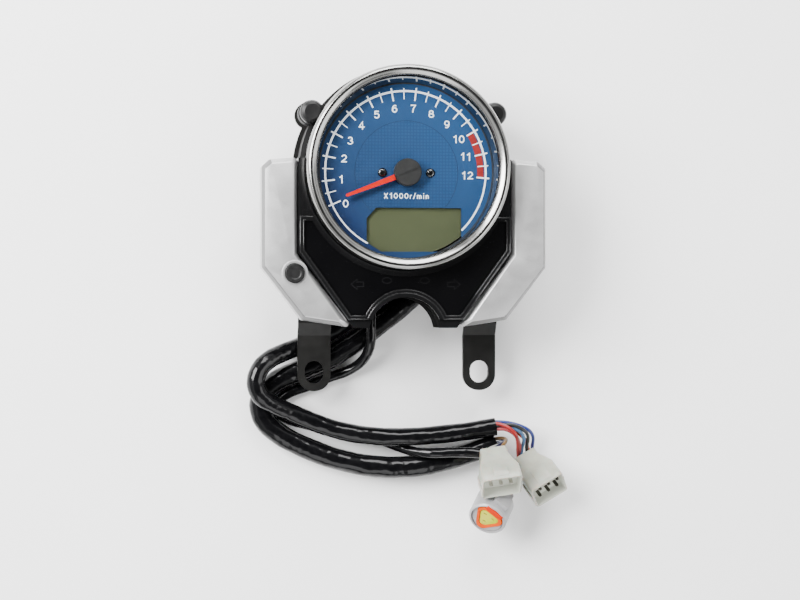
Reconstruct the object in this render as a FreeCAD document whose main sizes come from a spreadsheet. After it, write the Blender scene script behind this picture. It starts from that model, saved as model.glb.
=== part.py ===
import FreeCAD, Part
import math
import os
import re
import Sketcher

# Motorcycle instrument cluster: a round tachometer with a liquid crystal window, an indicator
# panel below it, two side covers, a mounting bracket and a wiring harness with three connectors.
# Millimetres. The origin is on the can's axis at its back, +Z points to the rider and +Y is up
# on the dial. The needle's axis is a little below the can's, at axis_y. The can lies on its back
# at Z = 0.

SIZES = {
    # round can and dial
    "can_outer": 48.5, "can_inner": 46.3, "can_floor": 2.5, "can_rim": 51.7,
    "flange_outer": 51.7, "flange_low": 48.0,
    "bezel_outer": 53.0, "bezel_inner": 52.0, "bezel_low": 46.8, "bezel_top": 66.0,
    "bezel_eye": 47.1, "lens_low": 60.9, "lens_thick": 2.5,
    "dial_thick": 0.8, "dial_eye": 45.6, "reflector_top": 60.1,
    "window_left": -21.0, "window_right": 29.2, "window_top": -20.4, "window_low": -43.4,
    "glass_low": 48.0, "glass_thick": 2.4,
    # movement
    "axis_y": -2.1, "needle_root": 1.5, "needle_tip": 0.75,
    "board_low": 38.4, "board_thick": 1.6, "board_outer": 45.9,
    "shaft_radius": 0.75, "bush_bore": 0.79, "shaft_low": 17.4, "shaft_top": 58.5,
    "rotor_radius": 8.5, "hub_radius": 7.2, "hub_low": 54.8, "hub_top": 59.6,
    "needle_reach": 34.7, "needle_low": 56.0, "needle_thick": 1.3, "needle_rest": 201.0,
    # housings and covers
    "housing_low": 21.0, "housing_split": 38.0, "housing_face": 50.0, "housing_wall": 2.2,
    "ring_outer": 55.0, "can_hole": 48.9, "bezel_hole": 53.4,
    "cover_top_y": 6.0, "cover_outer_x": 75.5, "cover_inner_x": 56.8, "cover_face": 50.0,
    "cover_low": 34.0, "cover_skin": 2.0, "cover_gap": 0.3,
    "notch_y": -86.6, "notch_radius": 19.4, "lobe_y": -83.4,
    "panel_top_y": -27.6, "panel_side_x": 53.2, "panel_low": 48.6, "panel_thick": 1.8,
    # reset button
    "button_x": -58.4, "button_y": -54.7, "button_radius": 5.0, "button_top": 52.2,
    "button_travel": 1.2,
    # bracket and dampers
    "plate_low": 17.9, "plate_thick": 3.0, "tab_low": 13.8, "tab_x": 45.1, "tab_width": 17.8,
    "tab_bend_y": -88.7, "tab_rise_y": -82.0, "tab_hole_y": -107.6, "tab_hole_radius": 5.1,
    "tab_slot": 12.1, "ear_x": 48.8, "ear_y": 30.1, "ear_radius": 6.6, "ear_top": 38.0,
    "damper_radius": 6.2, "damper_top": 46.6,
    # harness
    "gland_left": -12.0, "gland_right": 29.0, "gland_face": -51.0,
    "sleeve_a": 10.0, "sleeve_b": 12.0, "sleeve_c": 5.6, "lead": 1.7, "strand_pitch": 1.9,
}

DOC = FreeCAD.newDocument("instrument_cluster")
SHEET = DOC.addObject("Spreadsheet::Sheet", "Sizes")
for row, (alias, value) in enumerate(SIZES.items(), start=1):
    SHEET.set(f"A{row}", alias)
    SHEET.set(f"B{row}", str(value))
    SHEET.setAlias(f"B{row}", alias)
DOC.recompute()

NODES = []


# ---------------------------------------------------------------- shared helpers

def bound(text):
    """Expression text in which each size is read from the sheet."""
    return re.sub(r"[a-z][a-z_]*", lambda m: f"Sizes.{m[0]}" if m[0] in SIZES else m[0], str(text))


def number(text):
    """Value of an expression of sizes."""
    return float(SHEET.evalExpression(bound(text)))


def bind(thing, prop, text):
    thing.setExpression(prop, bound(text))


def keep(thing, label):
    """Make the object a sub-part of its own, under this label."""
    thing.Label = label
    NODES.append(thing)
    return thing


def new_body(name):
    return DOC.addObject("PartDesign::Body", name)


def sketch_on(body, name, role="XY_Plane", offset="0"):
    """Empty sketch on one of the body's own planes, moved along its normal."""
    plane = next(item for item in body.Origin.OriginFeatures if item.Role == role)
    sketch = body.newObject("Sketcher::SketchObject", name)
    sketch.AttachmentSupport = (plane, [""])
    sketch.MapMode = "FlatFace"
    bind(sketch, "AttachmentOffset.Base.z", offset)
    return sketch


def hold(sketch, kind, line, end, text):
    """Fix one coordinate of a line's end to an expression."""
    index = sketch.addConstraint(Sketcher.Constraint(kind, -1, 1, line, end, number(text)))
    bind(sketch, f"Constraints[{index}]", text)


def outline(sketch, corners):
    """Closed outline of straight lines through corners given as pairs of expressions."""
    first = sketch.GeometryCount
    places = [FreeCAD.Vector(number(x), number(y), 0) for x, y in corners]
    count = len(corners)
    for i in range(count):
        sketch.addGeometry(Part.LineSegment(places[i], places[(i + 1) % count]), False)
    for i in range(count):
        sketch.addConstraint(Sketcher.Constraint("Coincident", first + i, 2, first + (i + 1) % count, 1))
    for i, (x, y) in enumerate(corners):
        hold(sketch, "DistanceX", first + i, 1, x)
        hold(sketch, "DistanceY", first + i, 1, y)
    return sketch


def circle(sketch, x, y, radius):
    """Circle with its centre and radius given as expressions."""
    index = sketch.GeometryCount
    centre = FreeCAD.Vector(number(x), number(y), 0)
    sketch.addGeometry(Part.Circle(centre, FreeCAD.Vector(0, 0, 1), number(radius)), False)
    hold(sketch, "DistanceX", index, 3, x)
    hold(sketch, "DistanceY", index, 3, y)
    radius_index = sketch.addConstraint(Sketcher.Constraint("Radius", index, number(radius)))
    bind(sketch, f"Constraints[{radius_index}]", radius)
    return sketch


def rectangle(sketch, x_low, y_low, x_high, y_high):
    return outline(sketch, [(x_low, y_low), (x_high, y_low), (x_high, y_high), (x_low, y_high)])


def pad(body, sketch, length):
    feature = body.newObject("PartDesign::Pad", sketch.Name + "_pad")
    feature.Profile = sketch
    bind(feature, "Length", length)
    return feature


def pocket(body, sketch, length, upward=True):
    """Cut along the sketch's normal (upward) or against it."""
    feature = body.newObject("PartDesign::Pocket", sketch.Name + "_cut")
    feature.Profile = sketch
    feature.Reversed = upward
    bind(feature, "Length", length)
    return feature


def turned(body, name, profile, kind="PartDesign::Revolution"):
    """Turn a profile of (radius, height) expressions round the body's Z axis."""
    sketch = outline(sketch_on(body, name, "XZ_Plane"), profile)
    feature = body.newObject(kind, name + "_turn")
    feature.Profile = sketch
    feature.ReferenceAxis = (sketch, ["V_Axis"])
    feature.Angle = 360
    return feature


def ring_profile(inner, outer, low, high):
    return [(inner, low), (outer, low), (outer, high), (inner, high)]


def dress(body, kind, edges_wanted, prop, size):
    """Chamfer or fillet the edges of the body's tip that the test picks."""
    DOC.recompute()
    base = body.Tip
    names = [f"Edge{i + 1}" for i, edge in enumerate(base.Shape.Edges) if edges_wanted(edge)]
    if not names:
        raise ValueError(f"{body.Name}: no edge to dress")
    feature = body.newObject(kind, f"{body.Name}_{prop}_{len(body.Group)}")
    feature.Base = (base, names)
    bind(feature, prop, size)
    DOC.recompute()
    return feature


def fillet(body, edges_wanted, size):
    return dress(body, "PartDesign::Fillet", edges_wanted, "Radius", size)


def chamfer(body, edges_wanted, size):
    return dress(body, "PartDesign::Chamfer", edges_wanted, "Size", size)


def at_height(height):
    """Test for edges that lie flat at one height."""
    level = number(height)
    return lambda edge: all(abs(v.Z - level) < 1e-4 for v in edge.Vertexes) and abs(
        edge.BoundBox.ZLength) < 1e-4


def upright_at(places, near=0.6):
    """Test for edges parallel to Z that stand at one of the (x, y) places."""
    spots = [(number(x), number(y)) for x, y in places]

    def wanted(edge):
        box = edge.BoundBox
        if box.ZLength < 0.5 or box.XLength > 1e-3 or box.YLength > 1e-3:
            return False
        return any(math.hypot(box.XMin - x, box.YMin - y) < near for x, y in spots)
    return wanted


def cylinder(name, radius, length, x="0", y="0", z="0"):
    item = DOC.addObject("Part::Cylinder", name)
    bind(item, "Radius", radius)
    bind(item, "Height", length)
    bind(item, "Placement.Base.x", x)
    bind(item, "Placement.Base.y", y)
    bind(item, "Placement.Base.z", z)
    return item


def block(name, x_low, x_high, y_low, y_high, z_low, z_high):
    item = DOC.addObject("Part::Box", name)
    bind(item, "Length", f"({x_high}) - ({x_low})")
    bind(item, "Width", f"({y_high}) - ({y_low})")
    bind(item, "Height", f"({z_high}) - ({z_low})")
    bind(item, "Placement.Base.x", x_low)
    bind(item, "Placement.Base.y", y_low)
    bind(item, "Placement.Base.z", z_low)
    return item


def cut(name, base, *tools):
    result = base
    for i, tool in enumerate(tools):
        step = DOC.addObject("Part::Cut", name if i == len(tools) - 1 else f"{name}_step{i}")
        step.Base = result
        step.Tool = tool
        result = step
    return result


def fuse(name, *items):
    joined = DOC.addObject("Part::MultiFuse", name)
    joined.Shapes = list(items)
    return joined


def common(name, *items):
    shared = DOC.addObject("Part::MultiCommon", name)
    shared.Shapes = list(items)
    return shared


def group(label, items):
    """Several separate solids of one kind as one sub-part."""
    bundle = DOC.addObject("Part::Compound", label)
    bundle.Links = list(items)
    return keep(bundle, label)


def tube(name, inner, outer, low, high, x="0", y="0"):
    wall = cylinder(name + "_wall", outer, f"({high}) - ({low})", x, y, low)
    bore = cylinder(name + "_bore", inner, f"({high}) - ({low}) + 2", x, y, f"({low}) - 1")
    return cut(name, wall, bore)


def screws(label, places, head_z, length, head_radius="2.6", shank="1.4", up=1):
    """Cross-head screws. Each head starts at head_z and the shank runs the other way (up=1: down)."""
    made = []
    for i, (x, y) in enumerate(places):
        name = f"{label}_{i}"
        if up == 1:
            head_low, shank_low = head_z, f"({head_z}) - ({length})"
            slot_low, slot_high = f"({head_z}) + 0.7", f"({head_z}) + 2.5"
        else:
            head_low, shank_low = f"({head_z}) - 1.8", head_z
            slot_low, slot_high = f"({head_z}) - 2.5", f"({head_z}) - 0.7"
        head = cylinder(name + "_head", head_radius, "1.8", x, y, head_low)
        stem = cylinder(name + "_stem", shank, length, x, y, shank_low)
        slot_x = block(name + "_sx", f"({x}) - 1.7", f"({x}) + 1.7", f"({y}) - 0.35", f"({y}) + 0.35",
                       slot_low, slot_high)
        slot_y = block(name + "_sy", f"({x}) - 0.35", f"({x}) + 0.35", f"({y}) - 1.7", f"({y}) + 1.7",
                       slot_low, slot_high)
        made.append(cut(name, fuse(name + "_solid", head, stem), slot_x, slot_y))
    return group(label, made)


def shaped(label, shape, placement=None):
    """Sub-part whose shape is worked out here from the sheet's sizes."""
    item = DOC.addObject("Part::Feature", label)
    item.Shape = shape
    if placement is not None:
        item.Placement = placement
    return keep(item, label)


# ---------------------------------------------------------------- round can, dial and glass

def rear_can():
    """Moulded can with a flange under the bezel and a flat boss for the harness gland."""
    body = new_body("rear_can_body")
    turned(body, "can_outside", [
        ("0", "0"), ("can_outer - 2", "0"), ("can_outer", "2"), ("can_outer", "flange_low"),
        ("flange_outer", "flange_low"), ("flange_outer", "can_rim"), ("0", "can_rim")])
    boss = rectangle(sketch_on(body, "gland_boss"), "gland_left - 2", "gland_face + 2.4",
                     "gland_right + 2", "-25")
    pad(body, boss, "plate_low - 0.4")
    turned(body, "can_inside", [("0", "can_floor"), ("can_inner", "can_floor"),
                                ("can_inner", "can_rim + 1"), ("0", "can_rim + 1")],
           "PartDesign::Groove")
    window = rectangle(sketch_on(body, "gland_window", "XZ_Plane", "25"), "gland_left + 1.5",
                       "can_floor", "gland_right - 1.5", "plate_low - 2.9")
    pocket(body, window, "-gland_face", upward=True)
    posts = sketch_on(body, "board_posts", offset="can_floor - 0.5")
    for angle in (90, 200, 340):
        circle(posts, f"41 * cos({angle} deg)", f"41 * sin({angle} deg)", "3")
    pad(body, posts, "board_low - can_floor + 0.5")
    keep(body, "rear_can")


def bezel_ring():
    """Rolled chrome ring: convex outside, sloping eye, folded under the can's flange."""
    body = new_body("bezel_body")
    turned(body, "bezel_profile", [
        ("bezel_outer", "bezel_low"), ("bezel_outer", "bezel_top - 3.6"),
        ("bezel_outer - 0.9", "bezel_top - 1.2"), ("bezel_outer - 2.4", "bezel_top - 0.1"),
        ("bezel_eye + 2.6", "bezel_top"), ("bezel_eye", "bezel_top - 2.1"),
        ("bezel_eye", "bezel_top - 2.6"), ("bezel_inner", "bezel_top - 2.6"),
        ("bezel_inner", "bezel_low + 1"), ("can_outer + 0.9", "bezel_low + 1"),
        ("can_outer + 0.9", "bezel_low")])

    def crown(edge):
        box = edge.BoundBox
        radius = box.XLength / 2
        return box.ZLength < 1e-3 and box.ZMin > number("bezel_top") - 4 and radius > 50.0
    fillet(body, crown, "1.1")
    keep(body, "bezel_ring")


def front_glass():
    lens = new_body("lens_body")
    turned(lens, "lens_profile", ring_profile("0", "flange_outer", "lens_low", "lens_low + lens_thick"))
    chamfer(lens, at_height("lens_low + lens_thick"), "0.9")
    keep(lens, "lens")
    gasket = new_body("gasket_body")
    turned(gasket, "gasket_profile", ring_profile("bezel_eye + 0.5", "flange_outer", "reflector_top",
                                                  "lens_low"))
    keep(gasket, "lens_gasket")
    reflector = new_body("reflector_body")
    dial_top = "can_rim + dial_thick"
    turned(reflector, "reflector_profile", [
        ("dial_eye", dial_top), ("flange_outer", dial_top), ("flange_outer", "reflector_top"),
        ("bezel_eye + 0.4", "reflector_top"), ("dial_eye + 0.4", f"{dial_top} + 1.4"),
        ("dial_eye", f"{dial_top} + 1.2")])
    keep(reflector, "reflector_ring")


def window_corners(grow="0"):
    """Outline of the display window, clipped where the round dial ends."""
    return [(f"window_left - ({grow})", f"window_top - 5.6 + ({grow}) / 2"),
            (f"window_left - ({grow})", "-38.5"),
            (f"-13.4 - ({grow})", f"window_low - ({grow})"),
            (f"19.5 + ({grow})", f"window_low - ({grow})"),
            (f"window_right + ({grow})", "-37"),
            (f"window_right + ({grow})", f"window_top + ({grow})"),
            (f"window_left + 5 - ({grow}) / 2", f"window_top + ({grow})")]


def dial_plate():
    body = new_body("dial_body")
    disc = circle(sketch_on(body, "dial_disc", offset="can_rim"), "0", "0", "flange_outer - 0.2")
    pad(body, disc, "dial_thick")
    holes = outline(sketch_on(body, "dial_holes", offset="can_rim - 1"), window_corners())
    circle(holes, "0", "axis_y", "4.5")
    for side in (-1, 1):
        circle(holes, f"{side} * 12.7", "axis_y", "1.55")
    pocket(body, holes, "dial_thick + 2")
    keep(body, "dial_plate")
    screws("dial_screws", [("-12.7", "axis_y"), ("12.7", "axis_y")], "can_rim + dial_thick", "5.5", "2.65")


def display():
    """Liquid crystal glass in its frame, on two conductive rubber strips over a light guide."""
    top = "glass_low + glass_thick"
    glass_body = new_body("glass_body")
    glass = outline(sketch_on(glass_body, "glass_outline", offset="glass_low"), window_corners("1"))
    pad(glass_body, glass, "glass_thick")
    keep(common("lcd_glass_cut", glass_body,
                cylinder("glass_limit", "dial_eye", "10", z="glass_low - 2")), "lcd_glass")
    frame_body = new_body("frame_body")
    outer = outline(sketch_on(frame_body, "frame_outline", offset="board_low + board_thick + 0.05"),
                    window_corners("2.6"))
    pad(frame_body, outer, "can_rim - board_low - board_thick - 0.1")
    inner = outline(sketch_on(frame_body, "frame_inside", offset="board_low"), window_corners("1.15"))
    pocket(frame_body, inner, f"{top} + 0.05 - board_low")
    opening = outline(sketch_on(frame_body, "frame_opening", offset="board_low"), window_corners())
    pocket(frame_body, opening, "20")
    limit = cylinder("frame_limit", "can_inner - 0.3", "14", z="board_low")
    keep(common("lcd_frame_cut", frame_body, limit), "lcd_frame")
    strips = [block(f"strip_{i}", "window_left + 5.5", "window_right - 6.5", y, f"{y} + 1.6",
                    "board_low + board_thick", "glass_low") for i, y in enumerate(("-23.4", "-40.2"))]
    group("lcd_connector_strips", strips)
    keep(block("lcd_backlight", "window_left + 4.5", "window_right - 5.5", "-37.6", "-24.6",
               "board_low + board_thick + 1.2", "glass_low - 0.1"), "lcd_backlight")


def main_board():
    disc = cylinder("board_disc", "board_outer", "board_thick", z="board_low")
    hole = cylinder("board_hole", "3", "6", y="axis_y", z="board_low - 2")
    screw_hole = cylinder("board_screw_hole", "1.3", "6", y="41", z="board_low - 2")
    keep(cut("main_board_cut", disc, hole, screw_hole), "main_board")
    top = "board_low + board_thick"
    chips = [block("driver_chip", "14", "24", "10", "17", top, f"{top} + 1.8"),
             block("logic_chip", "-27", "-15", "9", "21", top, f"{top} + 1.5"),
             cylinder("capacitor_a", "3", "7", "-8", "30", top),
             cylinder("capacitor_b", "3", "7", "8", "30", top)]
    group("board_components", chips)
    lamps = []
    for i in range(7):
        angle = f"({-12 + 34 * i} deg)"
        x = f"36 * cos{angle}"
        y = f"36 * sin{angle}"
        lamps.append(block(f"dial_led_{i}", f"{x} - 1.6", f"{x} + 1.6", f"{y} - 1.4", f"{y} + 1.4",
                           top, f"{top} + 1.3"))
    group("dial_leds", lamps)
    support = tube("support_wall", "board_outer - 2.4", "board_outer", f"{top} + 0.05", "can_rim - 0.05")
    space = block("support_space", "window_left - 6", "window_right + 6", "-50", "window_top + 5",
                  "board_low", "can_rim + 1")
    keep(cut("dial_support_cut", support, space), "dial_support")
    screws("board_screws", [("0", "41")], top, "board_thick", "2.2", "1.1")


# ---------------------------------------------------------------- movement and needle

def coil(name, along_x, reach, low, high, start):
    """Rectangular winding round the bobbin, in two halves that leave room for the shaft."""
    turns = 1.8
    halves = []
    for side in (-1, 1):
        near = f"{start}" if side == 1 else "-6.2"
        far = "6.2" if side == 1 else f"-({start})"
        outer_span = (f"-({reach})", reach)
        inner_span = (f"-({reach}) + {turns}", f"{reach} - {turns}")
        tag = f"{name}_{'right' if side == 1 else 'left'}"
        if along_x:
            solid = block(tag + "_out", *outer_span, near, far, low, high)
            space = block(tag + "_in", *inner_span, f"{near} - 1", f"{far} + 1", f"{low} + {turns}",
                          f"{high} - {turns}")
        else:
            solid = block(tag + "_out", near, far, *outer_span, low, high)
            space = block(tag + "_in", f"{near} - 1", f"{far} + 1", *inner_span, f"{low} + {turns}",
                          f"{high} - {turns}")
        halves.append(cut(tag, solid, space))
    return halves


def on_axis(item, label):
    """Keep a sub-part that was made round the can's axis, moved to the needle's axis."""
    bind(item, "Placement.Base.y", "axis_y")
    return keep(item, label)


def movement():
    """Cross-coil movement hung under the main board: bobbin, windings, magnet, bushes and shield."""
    drum = cylinder("bobbin_drum", "13", "10", z="20")
    legs = [cylinder(f"bobbin_leg_{i}", "1.2", "board_low - 29.5", f"{x} * 8.6", f"{y} * 8.6", "29.5")
            for i, (x, y) in enumerate(((-1, -1), (1, -1), (1, 1), (-1, 1)))]
    chamber = cylinder("bobbin_chamber", "rotor_radius + 0.7", "6.4", z="21.8")
    bore = cylinder("bobbin_bore", "1.9", "14", z="18")
    on_axis(cut("bobbin_cut", fuse("bobbin_solid", drum, *legs), chamber, bore), "movement_bobbin")
    windings = coil("inner_coil", True, "15.0", "18", "32", "2.1")
    windings += coil("outer_coil", False, "17.0", "16", "34", "2.1")
    bind(group("movement_coils", windings), "Placement.Base.y", "axis_y")
    bushes = [tube("upper_bush", "bush_bore", "1.9", "28.2", "33.6"),
              cut("lower_bush", cylinder("lower_bush_solid", "1.9", "6.6", z="15.2"),
                  cylinder("lower_bush_bore", "bush_bore", "8", z="shaft_low - 0.1"))]
    bind(group("shaft_bushes", bushes), "Placement.Base.y", "axis_y")
    shell = cylinder("shield_shell", "19.6", "board_low - 14", z="14")
    room = cylinder("shield_room", "18.8", "board_low", z="14.8")
    on_axis(cut("shield_cut", shell, room), "movement_shield")
    on_axis(tube("rotor_cut", "shaft_radius", "rotor_radius", "22.6", "27.4"), "movement_rotor")
    on_axis(cylinder("shaft_solid", "shaft_radius", "shaft_top - shaft_low", z="shaft_low"),
            "movement_shaft")


def needle_and_hub():
    hub = new_body("hub_body")
    turned(hub, "hub_profile", [
        ("shaft_radius", "hub_low"), ("hub_radius", "hub_low"), ("hub_radius", "hub_top - 0.5"),
        ("hub_radius - 0.5", "hub_top"), ("0", "hub_top"), ("0", "shaft_top"),
        ("shaft_radius", "shaft_top")])
    groove = rectangle(sketch_on(hub, "hub_groove", offset="hub_top - 0.35"), "-20", "-0.18", "20", "0.18")
    pocket(hub, groove, "2")
    turn = FreeCAD.Rotation(FreeCAD.Vector(0, 0, 1), number("needle_rest"))
    hub.Placement = FreeCAD.Placement(FreeCAD.Vector(), turn)
    on_axis(hub, "needle_hub")
    body = new_body("needle_body")
    shape = outline(sketch_on(body, "needle_outline", offset="needle_low"), [
        ("hub_radius - 3", "-needle_root"), ("needle_reach - 0.6", "-needle_tip"), ("needle_reach", "0"),
        ("needle_reach - 0.6", "needle_tip"), ("hub_radius - 3", "needle_root")])
    pad(body, shape, "needle_thick")
    body.Placement = FreeCAD.Placement(FreeCAD.Vector(), turn)
    on_axis(cut("needle_cut", body, cylinder("hub_space", "hub_radius", "8", z="needle_low - 3")),
            "needle")


# ---------------------------------------------------------------- housings and covers

COVER_POSTS = (("66", "-10"), ("tab_x", "-71"))
LOBE_POSTS = (("23.9", "-79.9"), ("-23.9", "-79.9"))


def cover_corners(side, inset="0", inner="0"):
    """Outline of a side cover. inset moves its outer sides in, inner its side beside the housing."""
    corners = [("cover_inner_x + {1}", "cover_top_y - {0}"),
               ("cover_outer_x - 4 - 0.6 * {0}", "cover_top_y - 1.3 - {0}"),
               ("cover_outer_x - {0}", "cover_top_y - 5 - 0.6 * {0}"),
               ("cover_outer_x - {0}", "-51.6 + 0.5 * {0}"),
               ("54.3 - 0.3 * {0}", "-79.3 + 1.3 * {0}"),
               ("30.6 + 0.8 * {1}", "-82.9 + {0}"),
               ("29.4 + 1.1 * {1}", "-81.0 + 0.4 * {1}"),
               ("cover_inner_x + {1}", "-44.5 + 0.3 * {1}")]
    return [(f"{side} * ({x.format(inset, inner)})", y.format(inset, inner)) for x, y in corners]


def wing_corners(side, inset):
    """Outline of the rear housing's wing, which a side cover wraps."""
    return [(f"{side} * ({x})", y) for x, y in (
        ("40", f"cover_top_y - {inset}"),
        (f"cover_outer_x - 4 - 0.6 * {inset}", f"cover_top_y - 1.3 - {inset}"),
        (f"cover_outer_x - {inset}", f"cover_top_y - 5 - 0.6 * {inset}"),
        (f"cover_outer_x - {inset}", f"-51.6 + 0.5 * {inset}"),
        (f"54.3 - 0.3 * {inset}", f"-79.3 + 1.3 * {inset}"),
        ("31", f"-82.9 + {inset}"), ("16", f"-82.9 + {inset}"), ("16", "-60"))]


def bevel_corners(side):
    """Outline of a cover's flat face, inside its bevels."""
    corners = [("cover_inner_x + 2.3", "cover_top_y - 3.4"), ("cover_outer_x - 5.2", "cover_top_y - 4.4"),
               ("cover_outer_x - 2.5", "cover_top_y - 6.8"), ("cover_outer_x - 2.5", "-50.7"),
               ("53.5", "-76.2"), ("33.9", "-79.2"), ("33.2", "-79.0"),
               ("cover_inner_x + 2.3", "-45.3")]
    return [(f"{side} * ({x})", y) for x, y in corners]


def side_cover(label, side):
    """Silver cap over one wing; the left one has the reset button's boss and hole."""
    body = new_body(label + "_body")
    whole = outline(sketch_on(body, label + "_outline", offset="cover_low"), cover_corners(side))
    pad(body, whole, "cover_face - 2 - cover_low")
    edge = outline(sketch_on(body, label + "_edge", offset="cover_face - 2"), cover_corners(side))
    face = outline(sketch_on(body, label + "_face", offset="cover_face"), bevel_corners(side))
    bevel = body.newObject("PartDesign::AdditiveLoft", label + "_bevel")
    bevel.Profile = edge
    bevel.Sections = [face]
    bevel.Ruled = True
    hollow = outline(sketch_on(body, label + "_hollow", offset="cover_low - 1"),
                     cover_corners(side, "cover_skin", "cover_skin"))
    pocket(body, hollow, "cover_face - cover_skin - cover_low + 1")
    step = outline(sketch_on(body, label + "_step", offset="cover_low - 1"),
                   wing_corners(side, "(2.6)"))
    pocket(body, step, "housing_split + cover_gap - cover_low + 1")
    posts = sketch_on(body, label + "_posts", offset="housing_low + housing_wall + 0.1")
    pilots = sketch_on(body, label + "_pilots", offset="housing_low")
    for x, y in COVER_POSTS:
        circle(posts, f"{side} * {x}", y, "2.7")
        circle(pilots, f"{side} * {x}", y, "1.45")
    pad(body, posts, "cover_face - 1 - housing_low - housing_wall")
    pocket(body, pilots, "20")
    if side < 0:
        boss = circle(sketch_on(body, "button_boss", offset="cover_face - cover_skin"), "button_x",
                      "button_y", "7")
        pad(body, boss, "cover_skin + 0.7")
        hole = circle(sketch_on(body, "button_hole", offset="cover_low"), "button_x", "button_y",
                      "button_radius + 0.25")
        pocket(body, hole, "40")
        fillet(body, at_height("cover_face + 0.7"), "0.5")
    keep(body, label)


def front_corners():
    """Outline of the front housing between the covers, left and right halves mirrored."""
    right = [("cover_inner_x - cover_gap", "cover_top_y - 0.5"),
             ("cover_inner_x - cover_gap", "-44.2"),
             ("28.9", "-81.2"), ("27.4", "lobe_y"), ("17.5", "lobe_y")]
    left = [(f"-({x})", y) for x, y in reversed(right)]
    return right + left


def panel_corners(grow):
    """Straight sides of the indicator panel. Two round spaces cut its top and its arch."""
    right = [(f"panel_side_x + ({grow})", f"panel_top_y + ({grow})"),
             (f"panel_side_x + ({grow})", f"-42.4 - 0.4 * ({grow})"),
             (f"28.8 + 0.6 * ({grow})", f"-76.4 - ({grow})"),
             ("20", f"-76.4 - ({grow})")]
    left = [(f"-({x})", y) for x, y in reversed(right)]
    return right + left


def panel_space(name, grow, low, high):
    """Solid of the panel's outline, grown by a margin, between two heights."""
    body = new_body(name + "_body")
    pad(body, outline(sketch_on(body, name + "_outline", offset=low), panel_corners(grow)),
        f"{high} - ({low})")
    eye = cylinder(name + "_eye", f"bezel_hole + 3.2 - ({grow})", "60")
    arch = cylinder(name + "_arch", f"notch_radius + 4.6 - ({grow})", "60", y="notch_y")
    return cut(name, body, eye, arch)


def front_housing():
    """Black front frame: a skin with a raised rim round the indicator window."""
    body = new_body("front_body")
    whole = outline(sketch_on(body, "front_outline", offset="housing_split"), front_corners())
    pad(body, whole, "housing_face - housing_split")
    corners = front_corners()
    fillet(body, upright_at([corners[1], corners[8]]), "2")
    fillet(body, upright_at([corners[2], corners[3], corners[6], corners[7]]), "1.2")
    rim = outline(sketch_on(body, "rim_outline", offset="housing_face - 0.5"), panel_corners("2.6"))
    pad(body, rim, "1.9")
    eye = circle(sketch_on(body, "bezel_space", offset="housing_split - 1"), "0", "0", "bezel_hole")
    pocket(body, eye, "30")
    notch = circle(sketch_on(body, "front_notch", offset="housing_split - 1"), "0", "notch_y",
                   "notch_radius")
    pocket(body, notch, "30")
    pilots = [cylinder(f"front_pilot_{i}", "1.45", "9", x, y, "housing_split - 1")
              for i, (x, y) in enumerate(LOBE_POSTS)]
    keep(cut("front_cut", body,
             panel_space("front_cavity", "1", "housing_split - 1", "housing_face - housing_wall"),
             panel_space("front_opening", "-1.2", "housing_split", "housing_face + 5"),
             panel_space("panel_seat", "0.15", "panel_low", "housing_face + 5"), *pilots),
         "front_housing")


def indicator_panel():
    """Smoked window of the indicators over a light baffle, lamps and a circuit board."""
    keep(panel_space("panel_solid", "0", "panel_low", "panel_low + panel_thick"), "indicator_lens")
    lamps = [("-27", "-62"), ("-13.5", "-61"), ("13.5", "-61"), ("27", "-62")]
    board_low = "housing_low + housing_wall + 6"
    board_top = "housing_low + housing_wall + 7.6"
    shelf = panel_space("baffle_shelf", "-1.5", "panel_low - 3", "panel_low - 1.4")
    tubes = [cylinder(f"baffle_tube_{i}", "3.9", f"panel_low - 2 - ({board_top})", x, y, board_top)
             for i, (x, y) in enumerate(lamps)]
    wells = [cylinder(f"baffle_well_{i}", "3.1", "60", x, y) for i, (x, y) in enumerate(lamps)]
    keep(cut("baffle_cut", fuse("baffle_solid", shelf, *tubes), *wells), "light_baffle")
    keep(panel_space("indicator_board_solid", "-2.5", board_low, board_top), "indicator_board")
    group("indicator_leds", [block(f"indicator_led_{i}", f"{x} - 1.5", f"{x} + 1.5", f"{y} - 1.5",
                                   f"{y} + 1.5", board_top, f"{board_top} + 1.4")
                             for i, (x, y) in enumerate(lamps)])


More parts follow.
